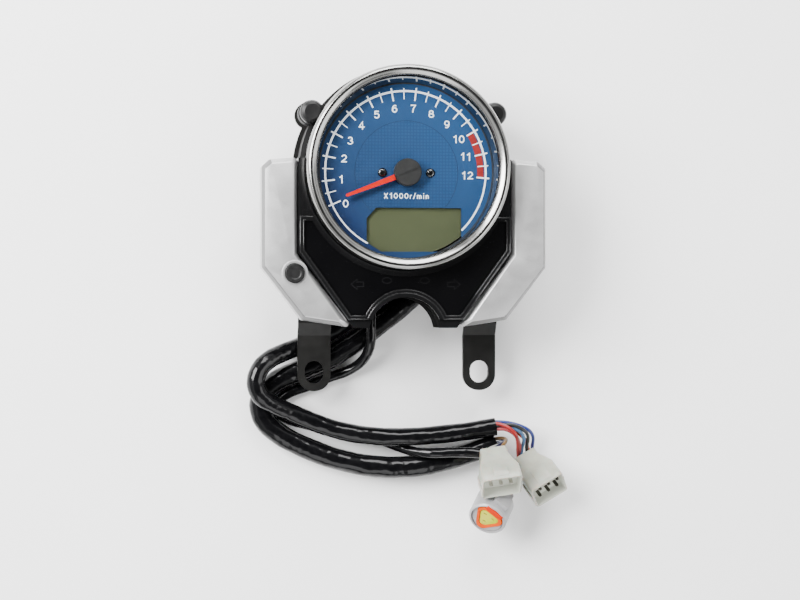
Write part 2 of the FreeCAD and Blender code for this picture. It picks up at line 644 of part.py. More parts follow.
def rear_housing():
    """Black rear shell: ring round the can, wings under the covers, ears for the dampers."""
    low, high = "housing_low", "housing_split"
    ring = cylinder("ring_solid", "ring_outer", f"{high} - {low}", z=low)
    solids = [ring]
    hollows = []
    for side, tag in ((-1, "left"), (1, "right")):
        for inset, part, start in (("(3.1)", solids, low), ("(5.3)", hollows, f"{low} + housing_wall")):
            name = f"wing_{tag}_{len(part)}"
            wing = new_body(name)
            shape = outline(sketch_on(wing, name + "_outline", offset=start), wing_corners(side, inset))
            pad(wing, shape, f"{high} - {low}")
            part.append(wing)
        ear = cylinder(f"ear_{tag}", "ear_radius", "8", f"{side} * ear_x", "ear_y", f"{high} - 8")
        solids.append(ear)
    middle = block("middle_solid", "-29", "29", "lobe_y + 0.8", "-30", low, high)
    solids.append(middle)
    hollows.append(block("middle_hollow", "-26.8", "26.8", "lobe_y + 3", "-30", f"{low} + housing_wall",
                         f"{high} + 1"))
    top_cut = block("top_trim", "-90", "90", "-100", "70", high, f"{high} + 30")
    can_space = cylinder("can_space", "can_hole", "60", z="0")
    notch_space = cylinder("notch_space", "notch_radius + 0.3", "60", y="notch_y", z="0")
    can_wall = tube("can_wall", "can_hole", "can_hole + 2.2", low, high)
    notch_full = tube("rear_notch_wall", "notch_radius + 0.3", "notch_radius + 2.3", low, high, y="notch_y")
    notch_limit = block("rear_notch_limit", "-27", "27", "lobe_y + 1", "-60", low, high)
    notch_wall = common("rear_notch_part", notch_full, notch_limit)
    shell = cut("rear_shell", fuse("rear_solids", *solids), fuse("rear_hollows", *hollows), top_cut)
    walled = fuse("rear_walled", shell, can_wall, notch_wall)
    board_rest = "housing_low + housing_wall + 6"
    posts = [cylinder(f"lobe_post_{i}", "2.8", f"{high} - {low}", x, y, low)
             for i, (x, y) in enumerate(LOBE_POSTS)]
    posts += [cylinder(f"board_rest_{i}", "1.6", f"{board_rest} - {low}", x, "-58", low)
              for i, x in enumerate(("-34", "34"))]
    posts += [cylinder(f"switch_post_{i}", "1.6", f"28.4 - {low}", f"button_x - {k} * 0.6",
                       f"button_y + {k} * 0.8", low) for i, k in enumerate((-4.5, 4.5))]
    holes = [cylinder(f"stud_hole_{i}", "2.05", "40", f"{side} * ear_x", "ear_y", "10")
             for i, side in enumerate((-1, 1))]
    holes += [cylinder(f"post_hole_{i}", "1.6", "60", f"{side} * {x}", y, "0")
              for i, (side, (x, y)) in enumerate((side, post) for side in (-1, 1) for post in COVER_POSTS)]
    holes += [cylinder(f"lobe_hole_{i}", "1.6", "60", x, y, "0") for i, (x, y) in enumerate(LOBE_POSTS)]
    solid = fuse("rear_solid", walled, *posts)
    keep(cut("rear_cut", solid, can_space, notch_space, *holes), "rear_housing")
    screws("cover_screws", [("-66", "-10"), ("66", "-10")], low, "14", up=-1)
    screws("housing_screws", LOBE_POSTS, low, "24", up=-1)


# ---------------------------------------------------------------- reset button

def button_place():
    """The button's axis, turned so that its local X runs along the cover's inner edge."""
    turn = FreeCAD.Rotation(FreeCAD.Vector(0, 0, 1), 126.9)
    return FreeCAD.Placement(FreeCAD.Vector(number("button_x"), number("button_y"), 0), turn)


def reset_button():
    cap = new_body("button_cap_body")
    turned(cap, "button_profile", [
        ("0", "38.2"), ("2", "38.2"), ("2", "46.2"), ("4.4", "46.2"), ("button_radius", "47.0"),
        ("button_radius", "button_top - 0.5"), ("button_radius - 0.5", "button_top"),
        ("button_radius - 1.6", "button_top"), ("button_radius - 2.2", "button_top - 0.4"),
        ("0", "button_top - 0.4")])
    lugs = rectangle(sketch_on(cap, "button_lugs", offset="46.2"), "-6.6", "-4", "6.6", "4")
    pad(cap, lugs, "1.4")
    cap.Placement = button_place()
    keep(cap, "reset_button")
    plunger = cylinder("plunger", "1.7", "4.8", "button_x", "button_y", "33.4")
    keep(plunger, "switch_plunger")
    box = new_body("switch_box_body")
    pad(box, rectangle(sketch_on(box, "switch_outline", offset="30"), "-4.5", "-4.5", "4.5", "4.5"), "6.5")
    bore = circle(sketch_on(box, "switch_bore", offset="31.4"), "0", "0", "1.9")
    pocket(box, bore, "10")
    box.Placement = button_place()
    keep(box, "switch_body")
    card = new_body("switch_card_body")
    pad(card, rectangle(sketch_on(card, "card_outline", offset="28.4"), "-7.5", "-5.2", "7.5", "5.2"), "1.6")
    card.Placement = button_place()
    keep(card, "switch_board")
    helix = Part.makeHelix(1.75, 8.75, 3.2)
    wire_circle = Part.Circle(FreeCAD.Vector(3.2, 0, 0), FreeCAD.Vector(0, 1, 0), 0.22)
    profile = Part.Wire([wire_circle.toShape()])
    coil_shape = Part.Wire(helix.Edges).makePipeShell([profile], True, True)
    place = button_place()
    place.Base.z = 36.95
    shaped("button_spring", coil_shape, place)


# ---------------------------------------------------------------- bracket and dampers

def mounting_bracket():
    """Stamped yoke round the can with two ears on top and two joggled legs below."""
    low, high = "plate_low", "plate_low + plate_thick"
    yoke = tube("yoke_ring", "can_outer + 0.9", "ring_outer + 2.2", low, high)
    open_top = block("yoke_open", "-46", "46", "8", "70", "0", "60")
    over = block("yoke_over", "-70", "70", "38", "70", "0", "60")
    ears = [cylinder(f"yoke_ear_{i}", "7.2", "plate_thick", f"{side} * ear_x", "ear_y", low)
            for i, side in enumerate((-1, 1))]
    legs = [leg(side, tag) for side, tag in ((-1, "left"), (1, "right"))]
    trimmed = cut("yoke_trimmed", yoke, open_top, over)
    can_space = cylinder("yoke_can_space", "can_outer + 0.9", "60")
    holes = [cylinder(f"yoke_hole_{i}", "2.05", "60", f"{side} * ear_x", "ear_y")
             for i, side in enumerate((-1, 1))]
    holes += [cylinder(f"leg_hole_{i}", "1.7", "60", f"{side} * tab_x", "-71")
              for i, side in enumerate((-1, 1))]
    keep(cut("bracket_cut", fuse("bracket_solid", trimmed, *ears, *legs), can_space, *holes),
         "mounting_bracket")
    screws("bracket_screws", [("-tab_x", "-71"), ("tab_x", "-71")], low, "18", "3.2", up=-1)


def leg(side, tag):
    """One leg: flat under the housing, stepped down, then a flat tab with an upright slot."""
    body = new_body(f"leg_{tag}_body")
    profile = outline(sketch_on(body, f"leg_{tag}_side", "YZ_Plane", f"{side} * tab_x - tab_width / 2"), [
        ("-34", "plate_low"), ("tab_rise_y", "plate_low"), ("tab_bend_y", "tab_low"),
        ("tab_hole_y - 10.2", "tab_low"), ("tab_hole_y - 10.2", "tab_low + plate_thick"),
        ("tab_bend_y + 0.9", "tab_low + plate_thick"), ("tab_rise_y + 0.9", "plate_low + plate_thick"),
        ("-34", "plate_low + plate_thick")])
    pad(body, profile, "tab_width")
    ends = [(f"{side} * tab_x - tab_width / 2", "tab_hole_y - 10.2"),
            (f"{side} * tab_x + tab_width / 2", "tab_hole_y - 10.2")]
    fillet(body, upright_at(ends), "tab_width / 2 - 0.3")
    half = "(tab_slot / 2 - tab_hole_radius)"
    slot = sketch_on(body, f"leg_{tag}_slot")
    circle(slot, f"{side} * tab_x", f"tab_hole_y + {half}", "tab_hole_radius")
    pocket(body, slot, "40")
    other = sketch_on(body, f"leg_{tag}_slot_low")
    circle(other, f"{side} * tab_x", f"tab_hole_y - {half}", "tab_hole_radius")
    pocket(body, other, "40")
    return body


def dampers():
    """Rubber knobs on the ears, each held by a hexagon bolt from behind the bracket."""
    for side, label in ((-1, "damper_left"), (1, "damper_right")):
        body = new_body(label + "_body")
        turned(body, label + "_profile", [
            ("2.05", "ear_top + 0.1"), ("damper_radius - 0.5", "ear_top + 0.1"),
            ("damper_radius", "ear_top + 1.2"), ("damper_radius", "damper_top - 2.4"),
            ("damper_radius - 0.8", "damper_top - 0.9"), ("damper_radius - 2.2", "damper_top"),
            ("0", "damper_top"), ("0", "damper_top - 3"), ("2.05", "damper_top - 3")])
        body.Placement.Base = FreeCAD.Vector(side * number("ear_x"), number("ear_y"), 0)
        keep(body, label)
    bolts = []
    for i, side in enumerate((-1, 1)):
        head = DOC.addObject("Part::Prism", f"bolt_head_{i}")
        head.Polygon = 6
        bind(head, "Circumradius", "4")
        bind(head, "Height", "3")
        bind(head, "Placement.Base.x", f"{side} * ear_x")
        bind(head, "Placement.Base.y", "ear_y")
        bind(head, "Placement.Base.z", "plate_low - 3")
        shank = cylinder(f"bolt_shank_{i}", "2", "damper_top - 3.1 - plate_low", f"{side} * ear_x", "ear_y",
                         "plate_low")
        bolts.append(fuse(f"bolt_{i}", head, shank))
    group("damper_bolts", bolts)


# ---------------------------------------------------------------- harness

SLEEVE_A = [(5, -51, 8.8), (1, -59, 7), (-9, -67.5, 5.4), (-22, -77.5, 5.2), (-37, -87, 5.2),
            (-51, -93.6, 5.6), (-61, -97, 11), (-71.5, -101.5, 17), (-77.5, -110.5, 18.8),
            (-75, -120.5, 18.6), (-65, -126, 15.8), (-55, -130.5, 12.8), (-40, -137, 11.6),
            (-20, -142.2, 11.6), (2, -143.6, 11.4), (22, -142.4, 11.2), (40, -140.5, 12),
            (55, -138, 13)]
SLEEVE_B = [(20, -51, 8.8), (17, -60, 7), (6.5, -70, 6.2), (-6, -80, 6.2), (-19.5, -90.5, 6.2),
            (-34, -99.5, 6.2), (-49, -106.5, 6.2), (-63.5, -111, 6.2), (-74.5, -120.5, 6.2),
            (-72.5, -134.5, 6.2), (-59, -144.5, 6.2), (-40, -153, 6.2), (-19, -159, 6.2),
            (4, -160.8, 6.2), (26, -157.5, 6.2), (44, -151.9, 6.2), (56, -147.5, 6.2)]
SLEEVE_C = [(-7, -51, 12), (-9, -57.5, 14.4), (-12.5, -65.5, 15.8), (-14, -74.5, 15.6),
            (-14.2, -84, 15.8), (-14, -93, 14.6), (-17, -101.5, 8.4), (-24.5, -107.5, 3.2),
            (-36, -111, 3), (-48, -116.2, 3), (-56.6, -118.6, 3), (-63.2, -123, 3), (-63.6, -130.6, 3),
            (-56.4, -134.4, 3), (-44, -137.6, 3), (-28, -140.5, 3), (-11, -143.5, 3), (2, -149, 3.6),
            (10.5, -151.7, 10), (19.5, -152.2, 15.4), (30, -151.7, 15.8), (41, -151.8, 15.6),
            (50, -152.6, 15.3)]


def tube_path(points):
    """Straight runs joined by tangent arcs, each as large as its two runs allow."""
    places = [FreeCAD.Vector(*point) for point in points]
    edges = []
    radii = []
    start = places[0]
    for before, corner, after in zip(places, places[1:], places[2:]):
        back = (before - corner).normalize()
        ahead = (after - corner).normalize()
        trim = 0.45 * min(corner.distanceToPoint(before), corner.distanceToPoint(after))
        half_turn = (math.pi - back.getAngle(ahead)) / 2
        radius = trim / math.tan(half_turn)
        bisector = (back + ahead).normalize()
        centre = corner + bisector * math.hypot(radius, trim)
        enter, leave = corner + back * trim, corner + ahead * trim
        edges.append(Part.LineSegment(start, enter).toShape())
        edges.append(Part.Arc(enter, centre - bisector * radius, leave).toShape())
        radii.append(radius)
        start = leave
    edges.append(Part.LineSegment(start, places[-1]).toShape())
    return Part.Wire(edges), radii


def swept(points, diameter):
    """Round cord along the route."""
    path, radii = tube_path(points)
    ahead = (FreeCAD.Vector(*points[1]) - FreeCAD.Vector(*points[0])).normalize()
    ring = Part.Circle(FreeCAD.Vector(*points[0]), ahead, diameter / 2).toShape()
    solid = path.makePipeShell([Part.Wire([ring])], True, False)
    return solid, path.Length, radii


def sleeves():
    """Three sleeves from the gland, under the left leg, round a fold and back to the right."""
    for label, route in (("sleeve_a", SLEEVE_A), ("sleeve_b", SLEEVE_B), ("sleeve_c", SLEEVE_C)):
        diameter = number(label)
        solid, length, radii = swept(route, diameter)
        shaped(label, solid)
        ratio = solid.Volume / (length * math.pi * diameter ** 2 / 4)
        print(f"{label}: length {length:.1f} mm, volume over section times length {ratio:.4f}, radii "
              + " ".join(f"{radius:.1f}" for radius in radii))


def harness_gland():
    """Rubber block that seals the sleeves in the can's boss."""
    plug = block("gland_plug", "gland_left + 1.6", "gland_right - 1.6", "gland_face + 2.4",
                 "gland_face + 6", "can_floor + 0.1", "plate_low - 3")
    face = block("gland_flange", "gland_left", "gland_right", "gland_face", "gland_face + 2.4",
                 "1", "plate_low - 1.4")
    keep(fuse("gland_solid", plug, face), "harness_grommet")


def place_along(x, y, z, yaw, tilt):
    """Local Z becomes the way a connector's mouth points, turned by yaw and tilted up."""
    level = FreeCAD.Rotation(FreeCAD.Vector(0, 0, 1), yaw)
    raised = FreeCAD.Rotation(FreeCAD.Vector(1, 0, 0), 90 - tilt)
    return FreeCAD.Placement(FreeCAD.Vector(x, y, z), level * raised)


LEFT_PLUG = {"place": (51.9, -153.2, 21.8, 8, 43), "width": 22.0, "height": 16.0, "length": 22.0}
RIGHT_PLUG = {"place": (74.0, -157.2, 7.4, 30, 45), "width": 20.0, "height": 16.6, "length": 24.0}
ROUND_PLUG = {"place": (60.0, -171.8, 5.6, -38, 45), "radius": 10.4, "length": 28.0}


def box_connector(label, plug, columns, rows):
    """Nylon housing, narrower behind, with a deep mouth and blade contacts on its floor."""
    width, height, length = plug["width"], plug["height"], plug["length"]
    body = new_body(label + "_body")
    rear = rectangle(sketch_on(body, label + "_rear"), f"-{width / 2 - 3}", f"-{height / 2 - 1.5}",
                     f"{width / 2 - 3}", f"{height / 2 - 1.5}")
    pad(body, rear, f"{length}")
    front = rectangle(sketch_on(body, label + "_front", offset="8"), f"-{width / 2}", f"-{height / 2}",
                      f"{width / 2}", f"{height / 2}")
    pad(body, front, f"{length - 8}")
    corners = [(f"{sx * width / 2}", f"{sy * height / 2}") for sx in (-1, 1) for sy in (-1, 1)]
    fillet(body, upright_at(corners), "1.2")
    mouth = rectangle(sketch_on(body, label + "_mouth", offset="10"), f"-{width / 2 - 1.5}",
                      f"-{height / 2 - 1.5}", f"{width / 2 - 1.5}", f"{height / 2 - 1.5}")
    pocket(body, mouth, f"{length}")
    place = place_along(*plug["place"])
    body.Placement = place
    keep(body, label)
    pins = []
    for column in range(columns):
        for row in range(rows):
            x = (column - (columns - 1) / 2) * 5.4
            y = (row - (rows - 1) / 2) * 5.0
            pin = Part.makeBox(2.2, 0.9, 7.5, FreeCAD.Vector(x - 1.1, y - 0.45, 10))
            pins.append(pin.makeChamfer(0.3, [edge for edge in pin.Edges if edge.BoundBox.ZMin > 17]))
    shaped(label + "_pins", Part.makeCompound(pins), place)


def sealed_connector():
    """Round weatherproof socket: shell, orange seal and a pale insert with three contacts."""
    place = place_along(*ROUND_PLUG["place"])
    radius, length = ROUND_PLUG["radius"], ROUND_PLUG["length"]
    shell = new_body("shell_body")
    turned(shell, "shell_profile", [
        ("0", "0"), ("7.4", "0"), ("7.4", "10"), (f"{radius}", "12.5"), (f"{radius}", f"{length - 0.8}"),
        (f"{radius - 0.8}", f"{length}"), (f"{radius - 1.4}", f"{length}"), (f"{radius - 1.4}", "15"),
        ("0", "15")])
    latch = rectangle(sketch_on(shell, "latch_outline", offset="13.5"), "-4.2", f"{radius - 1}", "4.2",
                      f"{radius + 2.2}")
    pad(shell, latch, "11")
    shell.Placement = place
    keep(shell, "sealed_connector")
    seal = new_body("seal_body")
    turned(seal, "seal_profile", ring_profile("6.6", "8.7", "15.1", "25.2"))
    tab = rectangle(sketch_on(seal, "seal_tab", offset="22.5"), "-3.4", "6.8", "3.4", "8.0")
    pad(seal, tab, "4")
    seal.Placement = place
    keep(seal, "connector_seal")
    insert = new_body("insert_body")
    turned(insert, "insert_profile", ring_profile("0", "6.4", "15.1", "24.6"))
    slots = sketch_on(insert, "insert_slots", offset="20")
    for x, y in (("-2.8", "1.9"), ("2.8", "1.9"), ("0", "-2.9")):
        rectangle(slots, f"{x} - 1", f"{y} - 0.4", f"{x} + 1", f"{y} + 0.4")
    pocket(insert, slots, "10")
    insert.Placement = place
    keep(insert, "connector_insert")


def strands(label, start, spread, via, finish, finish_spread, count):
    """Separate wires side by side from a sleeve's end to a connector's back."""
    wires = []
    for i in range(count):
        step = i - (count - 1) / 2
        points = [start + spread * step]
        for j, middle in enumerate(via, start=1):
            mix = j / (len(via) + 1)
            points.append(middle + (spread * (1 - mix) + finish_spread * mix) * step)
        points.append(finish + finish_spread * step)
        wires.append(swept([tuple(point) for point in points], number("lead"))[0])
    shaped(label, Part.makeCompound(wires))


def leads():
    """Wires between the sleeves' ends and the connectors."""
    pitch = number("strand_pitch")
    vector = FreeCAD.Vector
    for label, route, via, plug, across, count in (
            ("leads_a", SLEEVE_A, [vector(66, -138, 17.5), vector(74.5, -144.5, 12)], RIGHT_PLUG, 3.0, 4),
            ("leads_b", SLEEVE_B, [vector(58.5, -146.6, 7.5), vector(58, -147.2, 12)], LEFT_PLUG, 3.0, 3),
            ("leads_c", SLEEVE_C, [vector(56, -154.5, 11), vector(58.8, -160.5, 5)], ROUND_PLUG, 2.6, 3)):
        place = place_along(*plug["place"])
        width_way = place.Rotation.multVec(vector(1, 0, 0))
        end = vector(*route[-1])
        strands(label, end, vector(0, 1, 0) * pitch, via, place.Base, width_way * across, count)




# ---------------------------------------------------------------- writing the parts

def checked_nodes():
    DOC.recompute()
    for thing in DOC.Objects:
        if "Invalid" in thing.State or "Error" in thing.State:
            raise ValueError(f"{thing.Name}: {thing.State}")
    for node in NODES:
        if node.Shape.isNull() or not node.Shape.isValid():
            raise ValueError(f"{node.Label}: bad shape")
    return NODES


def main():
    rear_can()
    bezel_ring()
    front_glass()
    dial_plate()
    display()
    main_board()
    movement()
    needle_and_hub()
    side_cover("left_cover", -1)
    side_cover("right_cover", 1)
    front_housing()
    indicator_panel()
    rear_housing()
    reset_button()
    mounting_bracket()
    dampers()
    harness_gland()
    sleeves()
    box_connector("connector_left", LEFT_PLUG, 3, 1)
    box_connector("connector_right", RIGHT_PLUG, 3, 2)
    sealed_connector()
    leads()
    os.makedirs("parts", exist_ok=True)
    for node in checked_nodes():
        node.Shape.exportStep(f"parts/{node.Label}.step")
        print(f"{node.Label}: volume {node.Shape.Volume / 1000:.2f} cm3, solids {len(node.Shape.Solids)}")


main()
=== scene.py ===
"""Looks for the instrument cluster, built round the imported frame."""
import math

import bmesh
import bpy
from mathutils import Matrix, Vector, noise


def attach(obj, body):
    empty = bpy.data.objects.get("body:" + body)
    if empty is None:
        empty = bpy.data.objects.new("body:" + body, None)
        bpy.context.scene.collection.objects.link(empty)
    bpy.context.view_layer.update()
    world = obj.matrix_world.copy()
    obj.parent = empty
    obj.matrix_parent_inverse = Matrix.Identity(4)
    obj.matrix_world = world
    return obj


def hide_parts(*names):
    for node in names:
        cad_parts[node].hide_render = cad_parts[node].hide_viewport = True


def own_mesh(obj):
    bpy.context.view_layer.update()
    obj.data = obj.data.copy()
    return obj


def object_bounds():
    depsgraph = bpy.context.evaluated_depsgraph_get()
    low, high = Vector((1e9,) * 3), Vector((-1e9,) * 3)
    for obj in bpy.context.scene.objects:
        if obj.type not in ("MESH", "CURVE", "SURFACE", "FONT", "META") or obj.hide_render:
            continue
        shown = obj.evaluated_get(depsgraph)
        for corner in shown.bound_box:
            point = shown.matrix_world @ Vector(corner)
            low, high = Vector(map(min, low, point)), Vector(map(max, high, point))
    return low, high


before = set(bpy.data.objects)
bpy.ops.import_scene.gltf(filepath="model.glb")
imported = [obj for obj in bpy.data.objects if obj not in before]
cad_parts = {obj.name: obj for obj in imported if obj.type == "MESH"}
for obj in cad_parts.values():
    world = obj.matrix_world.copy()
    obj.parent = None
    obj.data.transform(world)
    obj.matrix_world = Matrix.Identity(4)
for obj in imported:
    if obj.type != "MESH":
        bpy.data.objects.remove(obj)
cad_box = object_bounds()
MM = 0.001
CLUSTER = "cluster"

# places that several pieces share, in mm
BUTTON = (-58.4, -54.7)
NOTCH_Y = -86.6


def placed(name, data):
    """New object in the scene."""
    thing = bpy.data.objects.new(name, data)
    bpy.context.collection.objects.link(thing)
    return thing


# ---- camera

def make_camera():
    """Camera nearly straight above the dial, a little to its left."""
    place = Vector((-0.1456, -0.0694, 1.0747))
    target = Vector((-0.0008, -0.0687, 0.034))
    data = bpy.data.cameras.new("camera")
    data.lens = 88.7
    data.sensor_width = 36
    camera = placed("camera", data)
    ahead = (target - place).normalized()
    right = ahead.cross(Vector((0, 1, 0))).normalized()
    up = right.cross(ahead)
    turn = Matrix((right, up, -ahead)).transposed()
    camera.matrix_world = Matrix.Translation(place) @ turn.to_4x4()
    bpy.context.scene.camera = camera


make_camera()


# ---- materials

class Nodes:
    """Short way to wire a material's nodes."""

    def __init__(self, name):
        self.material = bpy.data.materials.new(name)
        self.material.use_nodes = True
        self.tree = self.material.node_tree
        self.shader = self.tree.nodes["Principled BSDF"]
        self.coords = self.add("ShaderNodeTexCoord").outputs["Object"]

    def add(self, kind, **values):
        node = self.tree.nodes.new(kind)
        for key, value in values.items():
            setattr(node, key, value)
        return node

    def link(self, source, target):
        self.tree.links.new(source, target)

    def feed(self, socket, source):
        self.link(source, self.shader.inputs[socket])

    def put(self, **values):
        for key, value in values.items():
            self.shader.inputs[key.replace("_", " ")].default_value = value

    def noise(self, scale, detail=3.0, stretch=None, rough=0.5):
        node = self.add("ShaderNodeTexNoise")
        node.inputs["Scale"].default_value = scale
        node.inputs["Detail"].default_value = detail
        node.inputs["Roughness"].default_value = rough
        source = self.coords
        if stretch:
            mapping = self.add("ShaderNodeMapping")
            mapping.inputs["Scale"].default_value = stretch
            self.link(source, mapping.inputs["Vector"])
            source = mapping.outputs["Vector"]
        self.link(source, node.inputs["Vector"])
        return node.outputs["Fac"]

    def ramp(self, source, *stops):
        node = self.add("ShaderNodeValToRGB")
        elements = node.color_ramp.elements
        while len(elements) < len(stops):
            elements.new(0.5)
        for element, (place, colour) in zip(elements, stops):
            element.position = place
            element.color = (*colour, 1.0)
        self.link(source, node.inputs["Fac"])
        return node.outputs["Color"]

    def span(self, source, low, high, start=0.3, end=0.7):
        """Carry start..end of the source over to low..high."""
        node = self.add("ShaderNodeMapRange")
        for key, value in (("From Min", start), ("From Max", end), ("To Min", low), ("To Max", high)):
            node.inputs[key].default_value = value
        self.link(source, node.inputs["Value"])
        return node.outputs["Result"]

    def bump(self, height, strength, distance, before=None):
        node = self.add("ShaderNodeBump")
        node.inputs["Strength"].default_value = strength
        node.inputs["Distance"].default_value = distance
        self.link(height, node.inputs["Height"])
        if before is not None:
            self.link(before, node.inputs["Normal"])
        return node.outputs["Normal"]


def surface(name, light, dark, scale, rough, metal=0.0, grain=2500.0, grain_depth=0.00003, wide=0.0,
            stretch=None, **values):
    """Two-tone surface with roughness that varies and a fine grain; wide adds soft unevenness."""
    nodes = Nodes(name)
    tone = nodes.noise(scale, 4.0, stretch)
    nodes.feed("Base Color", nodes.ramp(tone, (0.32, dark), (0.68, light)))
    nodes.feed("Roughness", nodes.span(nodes.noise(scale * 3.1, 2.0), rough[0], rough[1]))
    normal = nodes.bump(nodes.noise(grain, 2.0, stretch), 0.5, grain_depth)
    if wide:
        normal = nodes.bump(nodes.noise(60.0, 3.0, stretch), 0.6, wide, normal)
    nodes.feed("Normal", normal)
    nodes.put(Metallic=metal, **values)
    return nodes.material


def grey(level):
    return (level,) * 3


BLACK_PLASTIC = surface("black_plastic", (0.0040, 0.0040, 0.0043), (0.0032, 0.0032, 0.0035), 90,
                        (0.23, 0.26), grain=3200, grain_depth=0.000004, Coat_Weight=0.35,
                        Coat_Roughness=0.14, Specular_IOR_Level=0.35)
WING_PLASTIC = surface("wing_plastic", grey(0.0045), grey(0.003), 70,
                       (0.50, 0.62), grain=2200, grain_depth=0.00003, Specular_IOR_Level=0.25)
RIM_BLACK = surface("rim_black", (0.0060, 0.0060, 0.0062), (0.0045, 0.0045, 0.0048), 90, (0.12, 0.18),
                    grain=3000, grain_depth=0.000004, Coat_Weight=0.3, Coat_Roughness=0.14)
CAN_METAL = surface("can_metal", (0.014, 0.014, 0.015), (0.008, 0.008, 0.0085), 60, (0.30, 0.46), 0.2,
                    grain=1400, wide=0.0001, Coat_Weight=0.2)
BEZEL_CHROME = surface("bezel_chrome", (0.34, 0.34, 0.33), (0.24, 0.24, 0.235), 45, (0.16, 0.24), 1.0,
                       grain=1600, grain_depth=0.000004)
MIRROR_RING = surface("mirror_ring", (0.36, 0.37, 0.38), (0.30, 0.31, 0.32), 50, (0.03, 0.06), 1.0,
                      grain=900, grain_depth=0.000004)
BRACKET_METAL = surface("bracket_metal", (0.0080, 0.0078, 0.0073), (0.0050, 0.0050, 0.0047), 80,
                        (0.36, 0.46), grain=1500, grain_depth=0.00002, Specular_IOR_Level=0.22)
# near-black, barely reflecting finish for the notch sheet: painted shade
NOTCH_SHADE_BLACK = surface("notch_painted_shade_black", grey(0.0028), grey(0.0018), 300, (0.85, 0.95),
                      Specular_IOR_Level=0.04)
DARK_STEEL = surface("dark_steel", grey(0.1), grey(0.04), 300, (0.28, 0.45), 0.8)
SCREW_METAL = surface("screw_metal", grey(0.16), grey(0.07), 900, (0.14, 0.24), 0.95)
STEEL = surface("steel", (0.62, 0.62, 0.60), (0.42, 0.42, 0.41), 200, (0.22, 0.40), 1.0, stretch=(1, 1, 6))
TIN = surface("tin_contacts", (0.66, 0.64, 0.60), (0.46, 0.44, 0.40), 500, (0.25, 0.42), 1.0)
COPPER = surface("copper_wire", (0.72, 0.32, 0.16), (0.45, 0.17, 0.07), 300, (0.28, 0.42), 1.0,
                 stretch=(1, 1, 20))
RUBBER = surface("rubber", grey(0.006), grey(0.004), 120, (0.52, 0.72), grain=1800,
                 grain_depth=0.00006, Specular_IOR_Level=0.3)
KNOB_BLACK = surface("knob_black", (0.0040, 0.0040, 0.0042), (0.0028, 0.0028, 0.0030), 160, (0.36, 0.46),
                     grain=2400, grain_depth=0.00003, Specular_IOR_Level=0.3)
BOARD = surface("board_mask", (0.03, 0.20, 0.09), (0.015, 0.10, 0.045), 240, (0.25, 0.38), Coat_Weight=0.4)
CHIP = surface("chip_package", grey(0.045), grey(0.022), 500, (0.5, 0.65))
INNER_BLACK = surface("inner_black", grey(0.03), grey(0.015), 150, (0.55, 0.75))
DIFFUSER = surface("white_diffuser", (0.80, 0.82, 0.80), (0.68, 0.70, 0.68), 90, (0.4, 0.55),
                   Subsurface_Weight=0.2)
LAMP = surface("lamp_resin", (0.86, 0.84, 0.70), (0.70, 0.68, 0.55), 400, (0.15, 0.28), Coat_Weight=0.5)
HUB_PLASTIC = surface("hub_plastic", (0.030, 0.028, 0.027), (0.020, 0.019, 0.018), 160, (0.36, 0.50),
                      grain=2600, grain_depth=0.00004)
SMOKED = surface("smoked_window", (0.0022, 0.0022, 0.0025), (0.0014, 0.0014, 0.0017), 40, (0.06, 0.11),
                 grain=500, grain_depth=0.00001, Coat_Weight=1.0, Coat_Roughness=0.04)
BUTTON_PLASTIC = surface("button_plastic", grey(0.005), grey(0.0032), 200,
                         (0.40, 0.52), Specular_IOR_Level=0.3)
NYLON = surface("milky_nylon", (0.315, 0.322, 0.272), (0.245, 0.252, 0.208), 120, (0.28, 0.42), grain=1500,
                Subsurface_Weight=0.35, Subsurface_Scale=0.003, Coat_Weight=0.25)
# lighter, faintly glowing copy of the nylon for the plug mouths: painted glow of light through the milky
# walls
NYLON_INSIDE_PAINTED_GLOW = surface("milky_inside_painted_glow", (0.46, 0.47, 0.40), (0.40, 0.41, 0.35), 120, (0.40, 0.55),
                       grain=1500, Emission_Color=(0.90, 0.93, 0.84, 1.0), Emission_Strength=0.16)
SHELL_GREY = surface("grey_shell", (0.34, 0.335, 0.34), (0.26, 0.258, 0.262), 150, (0.30, 0.45), grain=1800,
                     Coat_Weight=0.2)
SEAL = surface("orange_seal", (0.62, 0.072, 0.000), (0.54, 0.055, 0.000), 180, (0.60, 0.75),
               Specular_IOR_Level=0.05)
SEAL_DEEP = surface("deep_orange_seal", (0.50, 0.022, 0.000), (0.42, 0.016, 0.000), 180, (0.60, 0.75),
                    Specular_IOR_Level=0.05)
# tin contacts darkened to near black: painted shade inside the plug's mouth
BLADE_PAINTED_SHADE = surface("blade_contacts_painted_shade", (0.075, 0.072, 0.060), (0.040, 0.038, 0.032), 500, (0.28, 0.42), 0.6)
INSERT = surface("pale_insert", (0.36, 0.50, 0.000), (0.52, 0.42, 0.080), 90, (0.50, 0.65),
                 Specular_IOR_Level=0.05)
# white print whose emission is a painted glow
WHITE_PRINT_PAINTED_GLOW = surface("white_print_painted_glow", (0.97, 0.98, 1.0), (0.92, 0.94, 0.96), 600, (0.45, 0.60),
                      Emission_Color=(0.95, 0.97, 1.0, 1.0), Emission_Strength=0.6)
RED_PRINT = surface("red_print", (0.40, 0.020, 0.018), (0.30, 0.014, 0.013), 600, (0.40, 0.55))
ICON_PRINT = surface("icon_print", (0.0085, 0.0085, 0.0092), (0.0060, 0.0060, 0.0066), 500, (0.12, 0.2))
INK = surface("dark_ink", (0.008, 0.030, 0.070), (0.005, 0.022, 0.055), 500, (0.4, 0.5))


